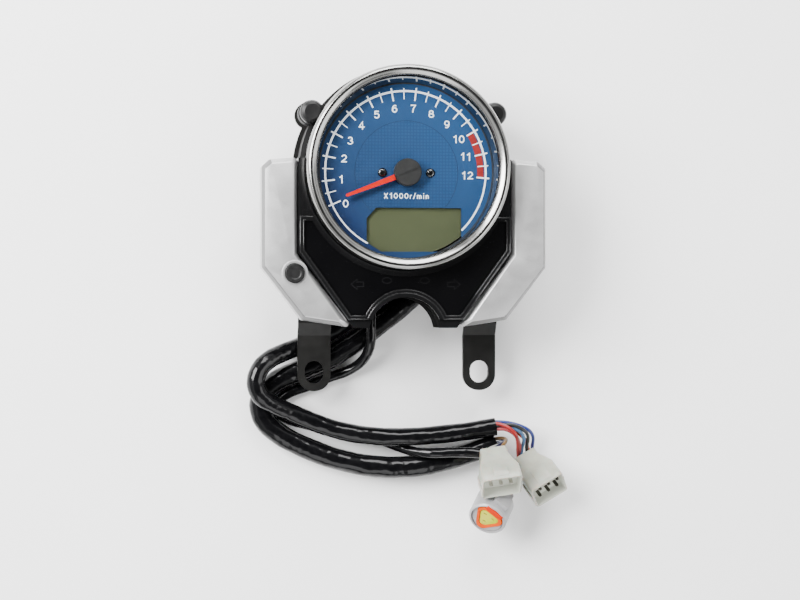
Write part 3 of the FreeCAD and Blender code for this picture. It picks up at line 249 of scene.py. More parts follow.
def sleeve_material():
    """Glossy soft vinyl with fine creases; its colour is darker in the creases and a little lighter where
    it stands proud, painted shade.
    """
    nodes = Nodes("sleeve_vinyl")
    crease = nodes.noise(260, 5.0, None, 0.62)
    soft = nodes.noise(45, 3.0)
    # painted shade: base colour darker where the crease noise, and so the bump, is low
    nodes.feed("Base Color", nodes.ramp(crease, (0.40, (0.0022, 0.0022, 0.0026)),
                                        (0.75, (0.0050, 0.0050, 0.0055))))
    nodes.feed("Roughness", nodes.span(soft, 0.07, 0.15))
    normal = nodes.bump(crease, 0.14, 0.0003)
    normal = nodes.bump(soft, 0.9, 0.0030, normal)
    nodes.feed("Normal", normal)
    nodes.put(Specular_IOR_Level=0.24)
    return nodes.material


def silver_material(name, light, dark):
    """Silver paint with a fine metal flake under a thin clear coat."""
    nodes = Nodes(name)
    flake = nodes.add("ShaderNodeTexVoronoi")
    flake.inputs["Scale"].default_value = 5200
    nodes.link(nodes.coords, flake.inputs["Vector"])
    nodes.feed("Base Color", nodes.ramp(flake.outputs["Distance"], (0.15, grey(light)), (0.75, grey(dark))))
    nodes.feed("Roughness", nodes.span(nodes.noise(120, 3.0), 0.36, 0.46))
    normal = nodes.bump(flake.outputs["Distance"], 0.25, 0.00002)
    nodes.feed("Normal", nodes.bump(nodes.noise(900, 2.0), 0.2, 0.00003, normal))
    nodes.put(Metallic=0.75, Coat_Weight=0.2, Coat_Roughness=0.2)
    return nodes.material


def dial_tone(nodes):
    """Colour of the printed film with painted light: darker towards the lower left as painted shade of the
    bezel, lighter elsewhere as painted lens glare, with a faint mottle.
    """
    split = nodes.add("ShaderNodeSeparateXYZ")
    nodes.link(nodes.coords, split.inputs["Vector"])
    # painted shade and glare: the colour runs darker towards the lower left and lighter towards the upper
    # right
    painted_shade_slope = nodes.add("ShaderNodeMath", operation="MULTIPLY_ADD")
    nodes.link(split.outputs["Y"], painted_shade_slope.inputs[0])
    painted_shade_slope.inputs[1].default_value = 0.8
    nodes.link(split.outputs["X"], painted_shade_slope.inputs[2])
    mottle = nodes.add("ShaderNodeMath", operation="MULTIPLY_ADD")
    nodes.link(nodes.noise(38, 3.0), mottle.inputs[0])
    mottle.inputs[1].default_value = 0.02
    nodes.link(painted_shade_slope.outputs["Value"], mottle.inputs[2])
    place = nodes.span(mottle.outputs["Value"], 0.0, 1.0, -0.050, 0.055)
    return split, nodes.ramp(place, (0.0, (0.0018, 0.016, 0.080)), (0.28, (0.0075, 0.042, 0.122)),
                             (1.0, (0.0120, 0.066, 0.182)))


def dial_material():
    """Blue printed film of the dial, carrying painted shade and painted lens glare in its tone."""
    nodes = Nodes("dial_film")
    colour = dial_tone(nodes)[1]
    nodes.feed("Base Color", colour)
    nodes.feed("Roughness", nodes.span(nodes.noise(700, 2.0), 0.38, 0.52))
    nodes.feed("Normal", nodes.bump(nodes.noise(3500, 2.0), 0.3, 0.00002))
    return nodes.material


def grid_material():
    """Inner disc of the dial: the film's colour, with its painted shade and glare, and a fine square weave
    in it.
    """
    nodes = Nodes("dial_weave")
    split, colour = dial_tone(nodes)
    waves = []
    for way in ("X", "Y"):
        turns = nodes.add("ShaderNodeMath", operation="MULTIPLY")
        nodes.link(split.outputs[way], turns.inputs[0])
        turns.inputs[1].default_value = 2 * math.pi / 0.0017
        wave = nodes.add("ShaderNodeMath", operation="SINE")
        nodes.link(turns.outputs["Value"], wave.inputs[0])
        waves.append(wave.outputs["Value"])
    weave = nodes.add("ShaderNodeMath", operation="MAXIMUM")
    nodes.link(waves[0], weave.inputs[0])
    nodes.link(waves[1], weave.inputs[1])
    level = nodes.span(weave.outputs["Value"], 1.12, 0.86, 0.2, 1.0)
    shade = nodes.add("ShaderNodeVectorMath", operation="SCALE")
    nodes.link(colour, shade.inputs[0])
    nodes.link(level, shade.inputs["Scale"])
    nodes.feed("Base Color", shade.outputs[0])
    nodes.feed("Normal", nodes.bump(weave.outputs["Value"], 0.4, 0.00005))
    nodes.feed("Roughness", nodes.span(nodes.noise(500, 2.0), 0.38, 0.50))
    return nodes.material


def lcd_material():
    """Olive liquid crystal glass, its polariser slightly uneven."""
    nodes = Nodes("lcd_polariser")
    colour = nodes.ramp(nodes.noise(30, 3.0), (0.3, (0.084, 0.094, 0.048)), (0.7, (0.098, 0.109, 0.057)))
    nodes.feed("Base Color", colour)
    nodes.feed("Roughness", nodes.span(nodes.noise(400, 2.0), 0.14, 0.22))
    nodes.feed("Normal", nodes.bump(nodes.noise(1500, 1.0), 0.1, 0.00001))
    nodes.put(Coat_Weight=0.6, Coat_Roughness=0.08)
    return nodes.material


def needle_material():
    """Red-orange paint with a faint painted glow, as if lit by the dial's lamps."""
    nodes = Nodes("needle_paint_and_painted_glow")
    colour = nodes.ramp(nodes.noise(300, 2.0), (0.3, (0.58, 0.0050, 0.0002)), (0.7, (0.66, 0.0080, 0.0003)))
    nodes.feed("Base Color", colour)
    nodes.feed("Roughness", nodes.span(nodes.noise(900, 2.0), 0.36, 0.46))
    # the emission is a painted glow, not a lamp
    nodes.put(Emission_Color=(1.0, 0.012, 0.0, 1.0), Emission_Strength=0.30, Specular_IOR_Level=0.2)
    return nodes.material


def lens_material():
    """Clear window: what lies under it shows, and its surface keeps a weak mirror gloss."""
    nodes = Nodes("clear_window")
    output = nodes.tree.nodes["Material Output"]
    clear = nodes.add("ShaderNodeBsdfTransparent")
    clear.inputs["Color"].default_value = (0.97, 0.98, 0.985, 1)
    gloss = nodes.add("ShaderNodeBsdfGlossy")
    nodes.link(nodes.span(nodes.noise(60, 2.0), 0.015, 0.04), gloss.inputs["Roughness"])
    facing = nodes.add("ShaderNodeFresnel")
    facing.inputs["IOR"].default_value = 1.25
    mix = nodes.add("ShaderNodeMixShader")
    nodes.link(facing.outputs["Fac"], mix.inputs[0])
    nodes.link(clear.outputs[0], mix.inputs[1])
    nodes.link(gloss.outputs[0], mix.inputs[2])
    nodes.link(mix.outputs[0], output.inputs["Surface"])
    nodes.tree.nodes.remove(nodes.shader)
    return nodes.material


def wire_material(name, colour):
    dark = tuple(0.6 * part for part in colour)
    return surface("wire_" + name, colour, dark, 260, (0.28, 0.42), grain=1200, grain_depth=0.00003,
                   Coat_Weight=0.2)


SLEEVE = sleeve_material()
SILVER = silver_material("silver_paint", 0.56, 0.44)
# darker copy of the silver paint for the covers' outer bevels: painted shade
SILVER_PAINTED_SHADE = silver_material("silver_painted_shade", 0.22, 0.17)
DIAL = dial_material()
WEAVE = grid_material()
LCD = lcd_material()
NEEDLE = needle_material()
LENS = lens_material()
WIRES = {name: wire_material(name, colour) for name, colour in {
    "red": (0.28, 0.008, 0.008), "pink": (0.36, 0.050, 0.060), "blue": (0.008, 0.022, 0.170),
    "black": (0.005, 0.005, 0.005), "light_blue": (0.055, 0.145, 0.280), "orange": (0.36, 0.055, 0.008),
    "brown": (0.060, 0.018, 0.010), "white": (0.30, 0.30, 0.28), "navy": (0.004, 0.007, 0.035),
    "gold": (0.17, 0.090, 0.020), "green": (0.008, 0.070, 0.030)}.items()}


# ---- making pieces

def add_object(name, data, material=None, body=CLUSTER):
    """Place a piece with its material, and attach it to its body."""
    thing = placed(name, data)
    if material is not None:
        data.materials.clear()
        data.materials.append(material)
    if body:
        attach(thing, body)
    return thing


def smooth_by_angle(mesh, degrees=35):
    """Smooth shading, with the edges sharper than the angle kept crisp."""
    work = bmesh.new()
    work.from_mesh(mesh)
    bmesh.ops.recalc_face_normals(work, faces=work.faces)
    limit = math.radians(degrees)
    for edge in work.edges:
        edge.smooth = len(edge.link_faces) == 2 and edge.calc_face_angle(0) < limit
    for face in work.faces:
        face.smooth = True
    work.to_mesh(mesh)
    work.free()


def mesh_piece(name, verts, faces, material, body=CLUSTER, angle=35):
    mesh = bpy.data.meshes.new(name)
    mesh.from_pydata([tuple(vert) for vert in verts], [], faces)
    mesh.validate()
    smooth_by_angle(mesh, angle)
    return add_object(name, mesh, material, body)


def ring_faces(low, high, count):
    """Quads between two rings of vertices, each given by the number of its first vertex."""
    return [(low + j, low + (j + 1) % count, high + (j + 1) % count, high + j) for j in range(count)]


def lathe(name, profile, material, body=CLUSTER, centre=(0, 0), steps=192, closed=True):
    """Ring turned about a vertical axis. Its profile, radius and height in mm, is a loop if closed."""
    verts, faces = [], []
    count = len(profile)
    for i in range(steps):
        turn = 2 * math.pi * i / steps
        for radius, height in profile:
            verts.append(((centre[0] + radius * math.cos(turn)) * MM,
                          (centre[1] + radius * math.sin(turn)) * MM, height * MM))
    last = count if closed else count - 1
    for i in range(steps):
        faces += ring_faces((i + 1) % steps * count, i * count, count)[:last]
    if not closed:
        faces.append(tuple(i * count for i in reversed(range(steps))))
        faces.append(tuple(i * count + count - 1 for i in range(steps)))
    return mesh_piece(name, verts, faces, material, body)


def rounded(points, radius, steps=5):
    """Closed outline with each corner replaced by an arc of so many steps."""
    made = []
    for i, corner in enumerate(points):
        here = Vector(corner)
        back = Vector(points[i - 1]) - here
        ahead = Vector(points[(i + 1) % len(points)]) - here
        angle = back.angle(ahead)
        trim = min(radius / math.tan(angle / 2), 0.45 * back.length, 0.45 * ahead.length)
        size = trim * math.tan(angle / 2)
        back.normalize()
        ahead.normalize()
        middle = here + (back + ahead).normalized() * (size / math.sin(angle / 2))
        first = here + back * trim - middle
        second = here + ahead * trim - middle
        sweep = first.angle_signed(second)
        for k in range(steps + 1):
            made.append(middle + Matrix.Rotation(-sweep * k / steps, 2) @ first)
    return made


def stack(name, rings, material, body=CLUSTER, angle=35):
    """Closed skin over outlines of equal counts, each a list of (x, y) and a height, all in mm."""
    verts, faces = [], []
    for outline, height in rings:
        verts += [(x * MM, y * MM, height * MM) for x, y in outline]
    count = len(rings[0][0])
    for i in range(len(rings) - 1):
        faces += ring_faces(i * count, (i + 1) * count, count)
    faces.append(tuple(reversed(range(count))))
    faces.append(tuple(range((len(rings) - 1) * count, len(rings) * count)))
    return mesh_piece(name, verts, faces, material, body, angle)


def cut(thing, outline, low, high):
    """Carve a straight-sided opening through a piece."""
    carve(thing, stack("carving_tool", [(outline, low), (outline, high)], None, None))


def carve(thing, tool):
    """Take the tool's volume out of a piece, and remove the tool."""
    change = thing.modifiers.new("carve", "BOOLEAN")
    change.operation = "DIFFERENCE"
    change.solver = "EXACT"
    change.object = tool
    bpy.context.view_layer.update()
    shaped = bpy.data.meshes.new_from_object(thing.evaluated_get(bpy.context.evaluated_depsgraph_get()))
    thing.modifiers.clear()
    thing.data = shaped
    smooth_by_angle(shaped)
    bpy.data.objects.remove(tool)


def post(centre, radius, low, high, steps=64):
    """Plain round tool for carve(), in mm."""
    return lathe("carving_tool", [(radius, low), (radius, high)], None, None, centre, steps, False)


def paint(material, *names):
    """Give CAD nodes a material."""
    for name in names:
        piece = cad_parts[name]
        if not piece.material_slots:
            piece.data.materials.append(material)
        for socket in piece.material_slots:
            socket.material = material


# ---- cords

SLEEVE_A = [(5, -51, 8.8), (1, -59, 7), (-9, -67.5, 5.4), (-22, -77.5, 5.2), (-37, -87, 5.2),
            (-51, -93.6, 5.6), (-61, -97, 11), (-71.5, -101.5, 17), (-77.5, -110.5, 18.8),
            (-75, -120.5, 18.6), (-65, -126, 15.8), (-55, -130.5, 12.8), (-40, -137, 11.6),
            (-20, -142.2, 11.6), (2, -143.6, 11.4), (22, -142.4, 11.2), (40, -140.5, 12),
            (55, -138, 13)]
SLEEVE_B = [(20, -51, 8.8), (17, -60, 7), (6.5, -70, 6.2), (-6, -80, 6.2), (-19.5, -90.5, 6.2),
            (-34, -99.5, 6.2), (-49, -106.5, 6.2), (-63.5, -111, 6.2), (-74.5, -120.5, 6.2),
            (-72.5, -134.5, 6.2), (-59, -144.5, 6.2), (-40, -153, 6.2), (-19, -159, 6.2),
            (4, -160.8, 6.2), (26, -157.5, 6.2), (44, -151.9, 6.2), (56, -147.5, 6.2)]
SLEEVE_C = [(-7, -51, 12), (-9, -57.5, 14.4), (-12.5, -65.5, 15.8), (-14, -74.5, 15.6),
            (-14.2, -84, 15.8), (-14, -93, 14.6), (-17, -101.5, 8.4), (-24.5, -107.5, 3.2),
            (-36, -111, 3), (-48, -116.2, 3), (-56.6, -118.6, 3), (-63.2, -123, 3),
            (-63.6, -130.6, 3), (-56.4, -134.4, 3), (-44, -137.6, 3), (-28, -140.5, 3),
            (-11, -143.5, 3), (2, -149, 3.6), (10.5, -151.7, 10), (19.5, -152.2, 15.4),
            (30, -151.7, 15.8), (41, -151.8, 15.6), (50, -152.6, 15.3)]


def spline(name, kind, points, radius=0.0, facets=4):
    """Curve of one spline through or near points in mm, as a round wire where it has a radius."""
    data = bpy.data.curves.new(name, "CURVE")
    data.dimensions = "3D"
    line = data.splines.new(kind)
    line.points.add(len(points) - 1)
    for control, (x, y, z) in zip(line.points, points):
        control.co = (x * MM, y * MM, z * MM, 1)
    if radius:
        data.bevel_depth = radius * MM
        data.bevel_resolution = facets
        data.use_fill_caps = True
    return data


def route(name, points, steps=12, radius=0.0):
    """Smooth curve with the route's points as its control points."""
    data = spline(name, "NURBS", points, radius)
    data.resolution_u = steps
    data.splines[0].order_u = 3
    data.splines[0].use_endpoint_u = True
    return data


def meshed(data):
    """Mesh of a curve, which is used up."""
    holder = placed(data.name, data)
    bpy.context.view_layer.update()
    mesh = bpy.data.meshes.new_from_object(holder)
    bpy.data.objects.remove(holder)
    bpy.data.curves.remove(data)
    return mesh


def followed(points):
    """Points along the route's smooth line."""
    mesh = meshed(route("route_line", points))
    line = [vert.co.copy() for vert in mesh.vertices]
    bpy.data.meshes.remove(mesh)
    return line


def even(line, step):
    """The same line at equal steps."""
    made, left = [line[0]], step
    for a, b in zip(line, line[1:]):
        run = (b - a).length
        while run > left:
            a = a + (b - a) * (left / run)
            made.append(a)
            run -= left
            left = step
        left -= run
    made.append(line[-1])
    return made


def creased_rings(line, radius, sides, seed):
    """Rings of points round a line: dented, and more creased at its bends."""
    verts = []
    ahead = (line[1] - line[0]).normalized()
    across = ahead.cross(Vector((0, 0, 1))).normalized()
    for i, place in enumerate(line):
        low, high = line[max(i - 1, 0)], line[min(i + 1, len(line) - 1)]
        ahead = (high - low).normalized()
        across = (across - ahead * across.dot(ahead)).normalized()
        up = ahead.cross(across)
        bend = 0.0
        if 2 < i < len(line) - 3:
            bend = (line[i + 3] - place).angle(place - line[i - 3], 0.0)
        for k in range(sides):
            turn = 2 * math.pi * k / sides
            way = across * math.cos(turn) + up * math.sin(turn)
            spot = place * 95 + way * 0.55 + Vector((seed, 0, 0))
            dent = noise.noise(spot) * 0.06
            depth = 0.018 + 0.05 * min(bend, 1)
            crease = noise.noise(place * 420 + way * 0.7 + Vector((0, seed, 0))) * depth
            verts.append(place + way * radius * (0.985 + min(dent + crease, 0.05)))
    return verts


def tube(name, line, diameter, material, seed):
    """Soft tube along a line, open at its end."""
    sides = 28
    verts = creased_rings(line, diameter / 2, sides, seed)
    base = len(verts)
    end = line[-1]
    back = (line[-2] - line[-1]).normalized()
    for depth, share in ((0.0, 0.88), (0.0035, 0.84)):
        for k in range(sides):
            verts.append(end + (verts[base - sides + k] - end) * share + back * depth)
    faces = [tuple(reversed(range(sides)))]
    for first in range(0, base + sides, sides):
        faces += ring_faces(first, first + sides, sides)
    faces.append(tuple(range(base + sides, base + 2 * sides)))
    return mesh_piece(name, verts, faces, material, CLUSTER, 60)


def wire(name, points, colour):
    """One insulated wire along control points in mm."""
    return add_object(name, route(name, points, 10, 1.0), WIRES[colour], CLUSTER)


# the back of each plug: its centre in mm, and its yaw and tilt in degrees
PLUG_BACKS = {"left": ((51.9, -153.2, 21.8), 8, 43), "right": ((74.0, -157.2, 7.4), 30, 45),
              "round": ((60.0, -171.8, 5.6), -38, 45)}


def plug_matrix(kind):
    place, yaw, tilt = PLUG_BACKS[kind]
    return (Matrix.Translation(Vector(place)) @ Matrix.Rotation(math.radians(yaw), 4, "Z")
            @ Matrix.Rotation(math.radians(90 - tilt), 4, "X"))


def plug_point(kind, x, y, z):
    return tuple(plug_matrix(kind) @ Vector((x, y, z)))


def strand(name, colour, points, kind, goal, row, run):
    """Wire by the points and then straight into a plug's back, over the last run of millimetres."""
    ends = [plug_point(kind, goal, row, -run), plug_point(kind, goal, row, 1.5)]
    return wire(name, points + ends, colour)


def leads():
    """Wires that leave the sleeves and go into the plugs, as separate coloured strands."""
    made = {"a": [], "b": [], "c": []}
    fan_a = (("red", 2.4, 3.1, (61.5, -138.0, 19), (66.5, -143.5, 19), -4.3),
             ("light_blue", 1.2, 1.6, (63, -137.5, 16.5), (71.5, -143, 16), -2.2),
             ("blue", 2.9, -0.6, (66, -136.2, 14.5), (76.5, -141.5, 15), 4.4),
             ("black", 0.6, 3.4, (64.5, -136.4, 17.5), (73.5, -142, 16.5), 1.5),
             ("pink", -1.2, 2.4, (61, -139.0, 17), (68, -145, 16.5), -3.4),
             ("orange", -0.6, -1.8, (62.5, -138.8, 13), (72.5, -145, 12.5), 3.2))
    for i, (colour, side, rise, first, second, goal) in enumerate(fan_a):
        points = [(51.5, -138.6 + side * 0.9, 12.8 + rise * 0.9), (54, -138 + side, 13 + rise), first,
                  second]
        made["a"].append(strand(f"lead_a_{i}", colour, points, "right", goal, 1.9 if i % 2 else -1.9, 5))
    fan_b = (("white", -2.6, 2.8, -5), ("navy", 0.4, 3.2, 0), ("gold", 2.8, 1.6, 5))
    for i, (colour, side, rise, goal) in enumerate(fan_b):
        points = [(53, -148.6 + side, 6.2 + rise), (57, -147.2 + side, 6.6 + rise),
                  (60.5 + i, -146 + side * 0.4, 9 + rise)]
        made["b"].append(strand(f"lead_b_{i}", colour, points, "left", goal, 0, 4))
    fan_c = (("black", -1.4, -2.6), ("green", 0.2, 0), ("brown", 1.5, 2.6))
    for i, (colour, side, goal) in enumerate(fan_c):
        points = [(47.5, -152.6 + side, 15.3), (51, -153 + side, 15.2), (57, -156.5 + side * 0.5, 12.5)]
        made["c"].append(strand(f"lead_c_{i}", colour, points, "round", goal, 0, 3.5))
    for key, strands in made.items():
        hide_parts("leads_" + key)
    return made


def seat(piece, kind):
    """Move a piece made along Z to its plug."""
    place = plug_matrix(kind)
    place.translation *= MM
    piece.data.transform(place)
    return piece


def box(wide, tall, radius, x=0.0, y=0.0):
    half_w, half_t = wide / 2, tall / 2
    return rounded([(x - half_w, y - half_t), (x + half_w, y - half_t), (x + half_w, y + half_t),
                    (x - half_w, y + half_t)], radius)


def blades(kind, columns, rows, length, metal):
    """Flat contacts with tapered tips that stand in the mouth of a plug."""
    made = []
    for column in range(columns):
        for row in range(rows):
            x = (column - (columns - 1) / 2) * 5.4 + (1.3 if row else 0) * (rows - 1)
            y = (row - (rows - 1) / 2) * 5.0
            rings = [(box(1.9, 0.9, 0.2, x, y), length - 6.1), (box(1.9, 0.9, 0.2, x, y), length - 2.6),
                     (box(1.3, 0.5, 0.15, x, y), length - 1.6)]
            made.append(seat(stack(f"blade_{kind}_{column}{row}", rings, metal), kind))
    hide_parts(f"connector_{kind}_pins")
    return made


def moulded(name, kind, rings, angle=35):
    """Milky part of a plug, in its place."""
    return seat(stack(name, rings, NYLON, angle=angle), kind)


def plug_shell(kind, wide, tall, length):
    """Milky housing: a tapered rear, a body with soft edges and a mouth, a low pad and two ribs."""
    # how much smaller than the body, how round at its corners, and how high each outline is
    outlines = ((8.4, 5.0, 0.9, -1.6), (7.4, 4.0, 1.1, -1.0), (7.0, 3.6, 1.2, 4.0), (4.6, 2.2, 1.5, 6.8),
                (0.8, 0.6, 1.9, 11.6), (0, 0, 1.9, 12.8), (0, 0, 1.9, length - 1.2),
                (0.35, 0.35, 1.7, length - 0.3), (1.0, 1.0, 1.5, length), (1.6, 1.6, 1.2, length),
                (2.2, 2.2, 0.9, length - 0.5), (2.8, 2.8, 0.6, length - 6))
    rings = [(box(wide - less_w, tall - less_t, corner), z) for less_w, less_t, corner, z in outlines]
    skin = moulded(f"plug_{kind}_shell", kind, rings, 30)
    # the mouth's inner faces take the lighter glowing nylon copy: painted glow
    skin.data.materials.append(NYLON_INSIDE_PAINTED_GLOW)
    corners = len(rings[0][0])
    for polygon in skin.data.polygons[-2 * corners - 1:]:
        polygon.material_index = 1
    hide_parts("connector_" + kind)
    thin = box(8.4, 0.6, 0.25, 0, tall / 2 - 0.2)
    thick = box(8.4, 1.0, 0.3, 0, tall / 2 - 0.1)
    end = box(8.0, 0.6, 0.25, 0, tall / 2 - 0.2)
    made = [skin, moulded(f"plug_{kind}_latch", kind,
                          [(thin, 12.9), (thick, 14.0), (thick, length - 3), (end, length - 2)])]
    for side in (-1, 1):
        thin = box(0.5, 1.6, 0.2, side * (wide / 2 + 0.05))
        thick = box(1.0, 1.6, 0.3, side * (wide / 2 + 0.2))
        made.append(moulded(f"plug_{kind}_rib_{side}", kind,
                            [(thin, 12.2), (thick, 13.4), (thick, length - 2.6), (thin, length - 1.8)]))
    return made


def triangle(reach, radius):
    """Rounded triangle with a flat side towards +Y."""
    return rounded([(reach * math.cos(math.radians(a)), reach * math.sin(math.radians(a)))
                    for a in (30, 150, 270)], radius, 8)


def sealed_face():
    """Front of the weatherproof plug: cheek, three-cornered seal with a tab, and a pale insert."""
    cheek = lathe("plug_cheek", [(8.95, 15.05), (8.95, 26.4), (8.6, 26.9)], SHELL_GREY,
                  steps=96, closed=False)
    cut(cheek, triangle(12.2, 3.5), 14, 30)
    seal = stack("plug_seal", [(triangle(12.0, 3.5), 15.1), (triangle(12.0, 3.5), 26.9),
                               (triangle(11.5, 3.3), 27.5), (triangle(9.0, 2.7), 27.5),
                               (triangle(8.7, 2.6), 27.2), (triangle(8.7, 2.6), 15.1)], SEAL)
    core = stack("plug_insert", [(triangle(8.6, 2.55), 15.1), (triangle(8.6, 2.55), 26.8),
                                 (triangle(8.0, 2.4), 27.1)], INSERT)
    for x, y in ((-2.6, 1.8), (2.6, 1.8), (0, -2.8)):
        cut(core, box(2.0, 0.75, 0.2, x, y), 22, 29)
    tab = stack("plug_tab", [(box(10.4, 2.6, 0.6, 0, 7.3), 26.3), (box(10.4, 2.6, 0.6, 0, 7.3), 28.3),
                             (box(9.6, 1.9, 0.5, 0, 7.3), 28.8)], SEAL_DEEP)
    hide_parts("connector_seal")
    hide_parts("connector_insert")
    return [seat(piece, "round") for piece in (cheek, seal, core, tab)]


def harness():
    strands = leads()
    # the right plug's blades use the darkened tin copy, which is painted shade
    plugs = {"a": plug_shell("right", 20, 16.6, 24.6) + blades("right", 3, 2, 24.6, BLADE_PAINTED_SHADE),
             "b": plug_shell("left", 22, 16, 22) + blades("left", 3, 1, 22, TIN),
             "c": [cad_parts["sealed_connector"]] + sealed_face()}
    for key, points, diameter, length in (("a", SLEEVE_A, 0.0100, 0.2517), ("b", SLEEVE_B, 0.0120, 0.2687),
                                          ("c", SLEEVE_C, 0.0056, 0.2331)):
        line = even(followed(points), diameter * 0.11)
        piece = tube("soft_sleeve_" + key, line, diameter, SLEEVE, ord(key) * 3.7)
        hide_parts("sleeve_" + key)


harness()


# ---- can, bezel and window

def bezel():
    """Rolled chrome ring with a rounded lip and a straight skirt, and the mirror wall inside it."""
    lip = [(47.7, 63.42), (47.75, 63.9), (48.0, 64.3), (48.7, 64.85), (49.3, 65.25), (49.9, 65.6),
           (50.5, 65.85), (51.1, 65.95), (51.7, 65.85), (52.3, 65.55), (52.8, 65.0), (53.2, 64.2),
           (53.4, 63.2), (53.45, 62.0), (53.4, 60.9), (53.2, 60.3), (53.0, 60.0)]
    skirt = [(53.0, 48.6), (52.9, 47.8), (52.6, 47.2), (52.1, 46.85), (49.5, 46.8), (49.5, 47.8),
             (52.0, 47.8), (52.0, 63.42)]
    ring = lathe("bezel_skin", lip + skirt, BEZEL_CHROME, steps=256)
    # the lip sits a little higher on the dial than the can's axis
    for vert in ring.data.vertices:
        if vert.co.z > 50.5 * MM:
            vert.co.y += 0.4 * MM
    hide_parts("bezel_ring")
    wall = [(46.2, 52.55), (46.2, 53.1), (46.4, 53.6), (47.0, 56.8), (47.6, 60.1), (51.6, 60.1),
            (51.6, 52.55)]
    inner = lathe("mirror_wall", wall, MIRROR_RING, steps=256)
    # its inside leans, by 1.5 mm over its height, so that the dial shows lower in the ring
    high, low = wall[4][1], wall[0][1]
    for vert in inner.data.vertices:
        if vert.co.xy.length < 48 * MM:
            vert.co.y += 0.3 * MM - 1.5 * (high * MM - vert.co.z) / (high - low)
    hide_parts("reflector_ring")


bezel()
paint(LENS, "lens")
paint(RUBBER, "lens_gasket", "harness_grommet", "lcd_connector_strips")
paint(CAN_METAL, "rear_can")
paint(DIAL, "dial_plate")
paint(LCD, "lcd_glass")
paint(INNER_BLACK, "lcd_frame", "dial_support", "light_baffle")
paint(DIFFUSER, "lcd_backlight", "movement_bobbin")
paint(BOARD, "main_board", "indicator_board", "switch_board")
paint(CHIP, "board_components", "switch_body")
paint(LAMP, "dial_leds", "indicator_leds")
paint(STEEL, "board_screws", "movement_shield", "movement_shaft", "button_spring")
paint(COPPER, "movement_coils")
paint(TIN, "shaft_bushes", "connector_left_pins", "connector_right_pins")
paint(DARK_STEEL, "dial_screws", "movement_rotor", "cover_screws", "housing_screws", "bracket_screws",
      "switch_plunger")
paint(HUB_PLASTIC, "needle_hub")
paint(NEEDLE, "needle")
paint(BLACK_PLASTIC, "front_housing")
paint(WING_PLASTIC, "rear_housing")
paint(SMOKED, "indicator_lens")
paint(BUTTON_PLASTIC, "reset_button")
paint(BRACKET_METAL, "mounting_bracket")
paint(KNOB_BLACK, "damper_left", "damper_right", "damper_bolts")
paint(NYLON, "connector_left", "connector_right")
paint(SHELL_GREY, "sealed_connector")
paint(SEAL, "connector_seal")
paint(INSERT, "connector_insert")
paint(SLEEVE, "sleeve_a", "sleeve_b", "sleeve_c")
paint(WIRES["black"], "leads_a", "leads_b", "leads_c")
paint(SILVER, "left_cover", "right_cover")


# ---- dial print

DIAL_TOP = 52.5
DIAL_CENTRE = Vector((-0.3, -1.7))
AXIS = Vector((0, -2.1))
SCREW_X = 12.7
FIRST_MARK = 204
MARK_STEP = 17.32


def arc_band(name, inner, outer, start, end, material, low=DIAL_TOP + 0.08, centre=DIAL_CENTRE):
    """Printed arc: a thin band between two radii and two angles in degrees."""
    high = low + 0.05
    steps = max(2, int(abs(end - start) / 1.2))
    rings = []
    for i in range(steps + 1):
        turn = math.radians(start + (end - start) * i / steps)
        way = Vector((math.cos(turn), math.sin(turn)))
        rings.append([(way * inner, low), (way * outer, low), (way * outer, high), (way * inner, high)])
    verts = [(*(p + centre) * MM, z * MM) for ring in rings for p, z in ring]
    faces = [(0, 1, 2, 3), tuple(len(verts) - 4 + k for k in (3, 2, 1, 0))]
    for i in range(steps):
        faces += ring_faces(4 * (i + 1), 4 * i, 4)
    return mesh_piece(name, verts, faces, material, CLUSTER)


def mark(name, angle, inner, outer, width):
    """Printed tick of even width along a radius."""
    low = DIAL_TOP + 0.16
    turn = math.radians(angle)
    along = Vector((math.cos(turn), math.sin(turn)))
    side = Vector((-along.y, along.x)) * width / 2
    corners = [along * inner - side, along * outer - side, along * outer + side, along * inner + side]
    ring = [tuple(p + DIAL_CENTRE) for p in corners]
    stack(name, [(ring, low), (ring, low + 0.05)], WHITE_PRINT_PAINTED_GLOW)


def curve(x, y, wide, tall, start, end):
    """Points along an elliptical arc, in a glyph's own square of -1 to 1."""
    count = max(4, int(abs(end - start) / 12))
    turns = [math.radians(start + (end - start) * i / count) for i in range(count + 1)]
    return [(x + wide * math.cos(turn), y + tall * math.sin(turn)) for turn in turns]


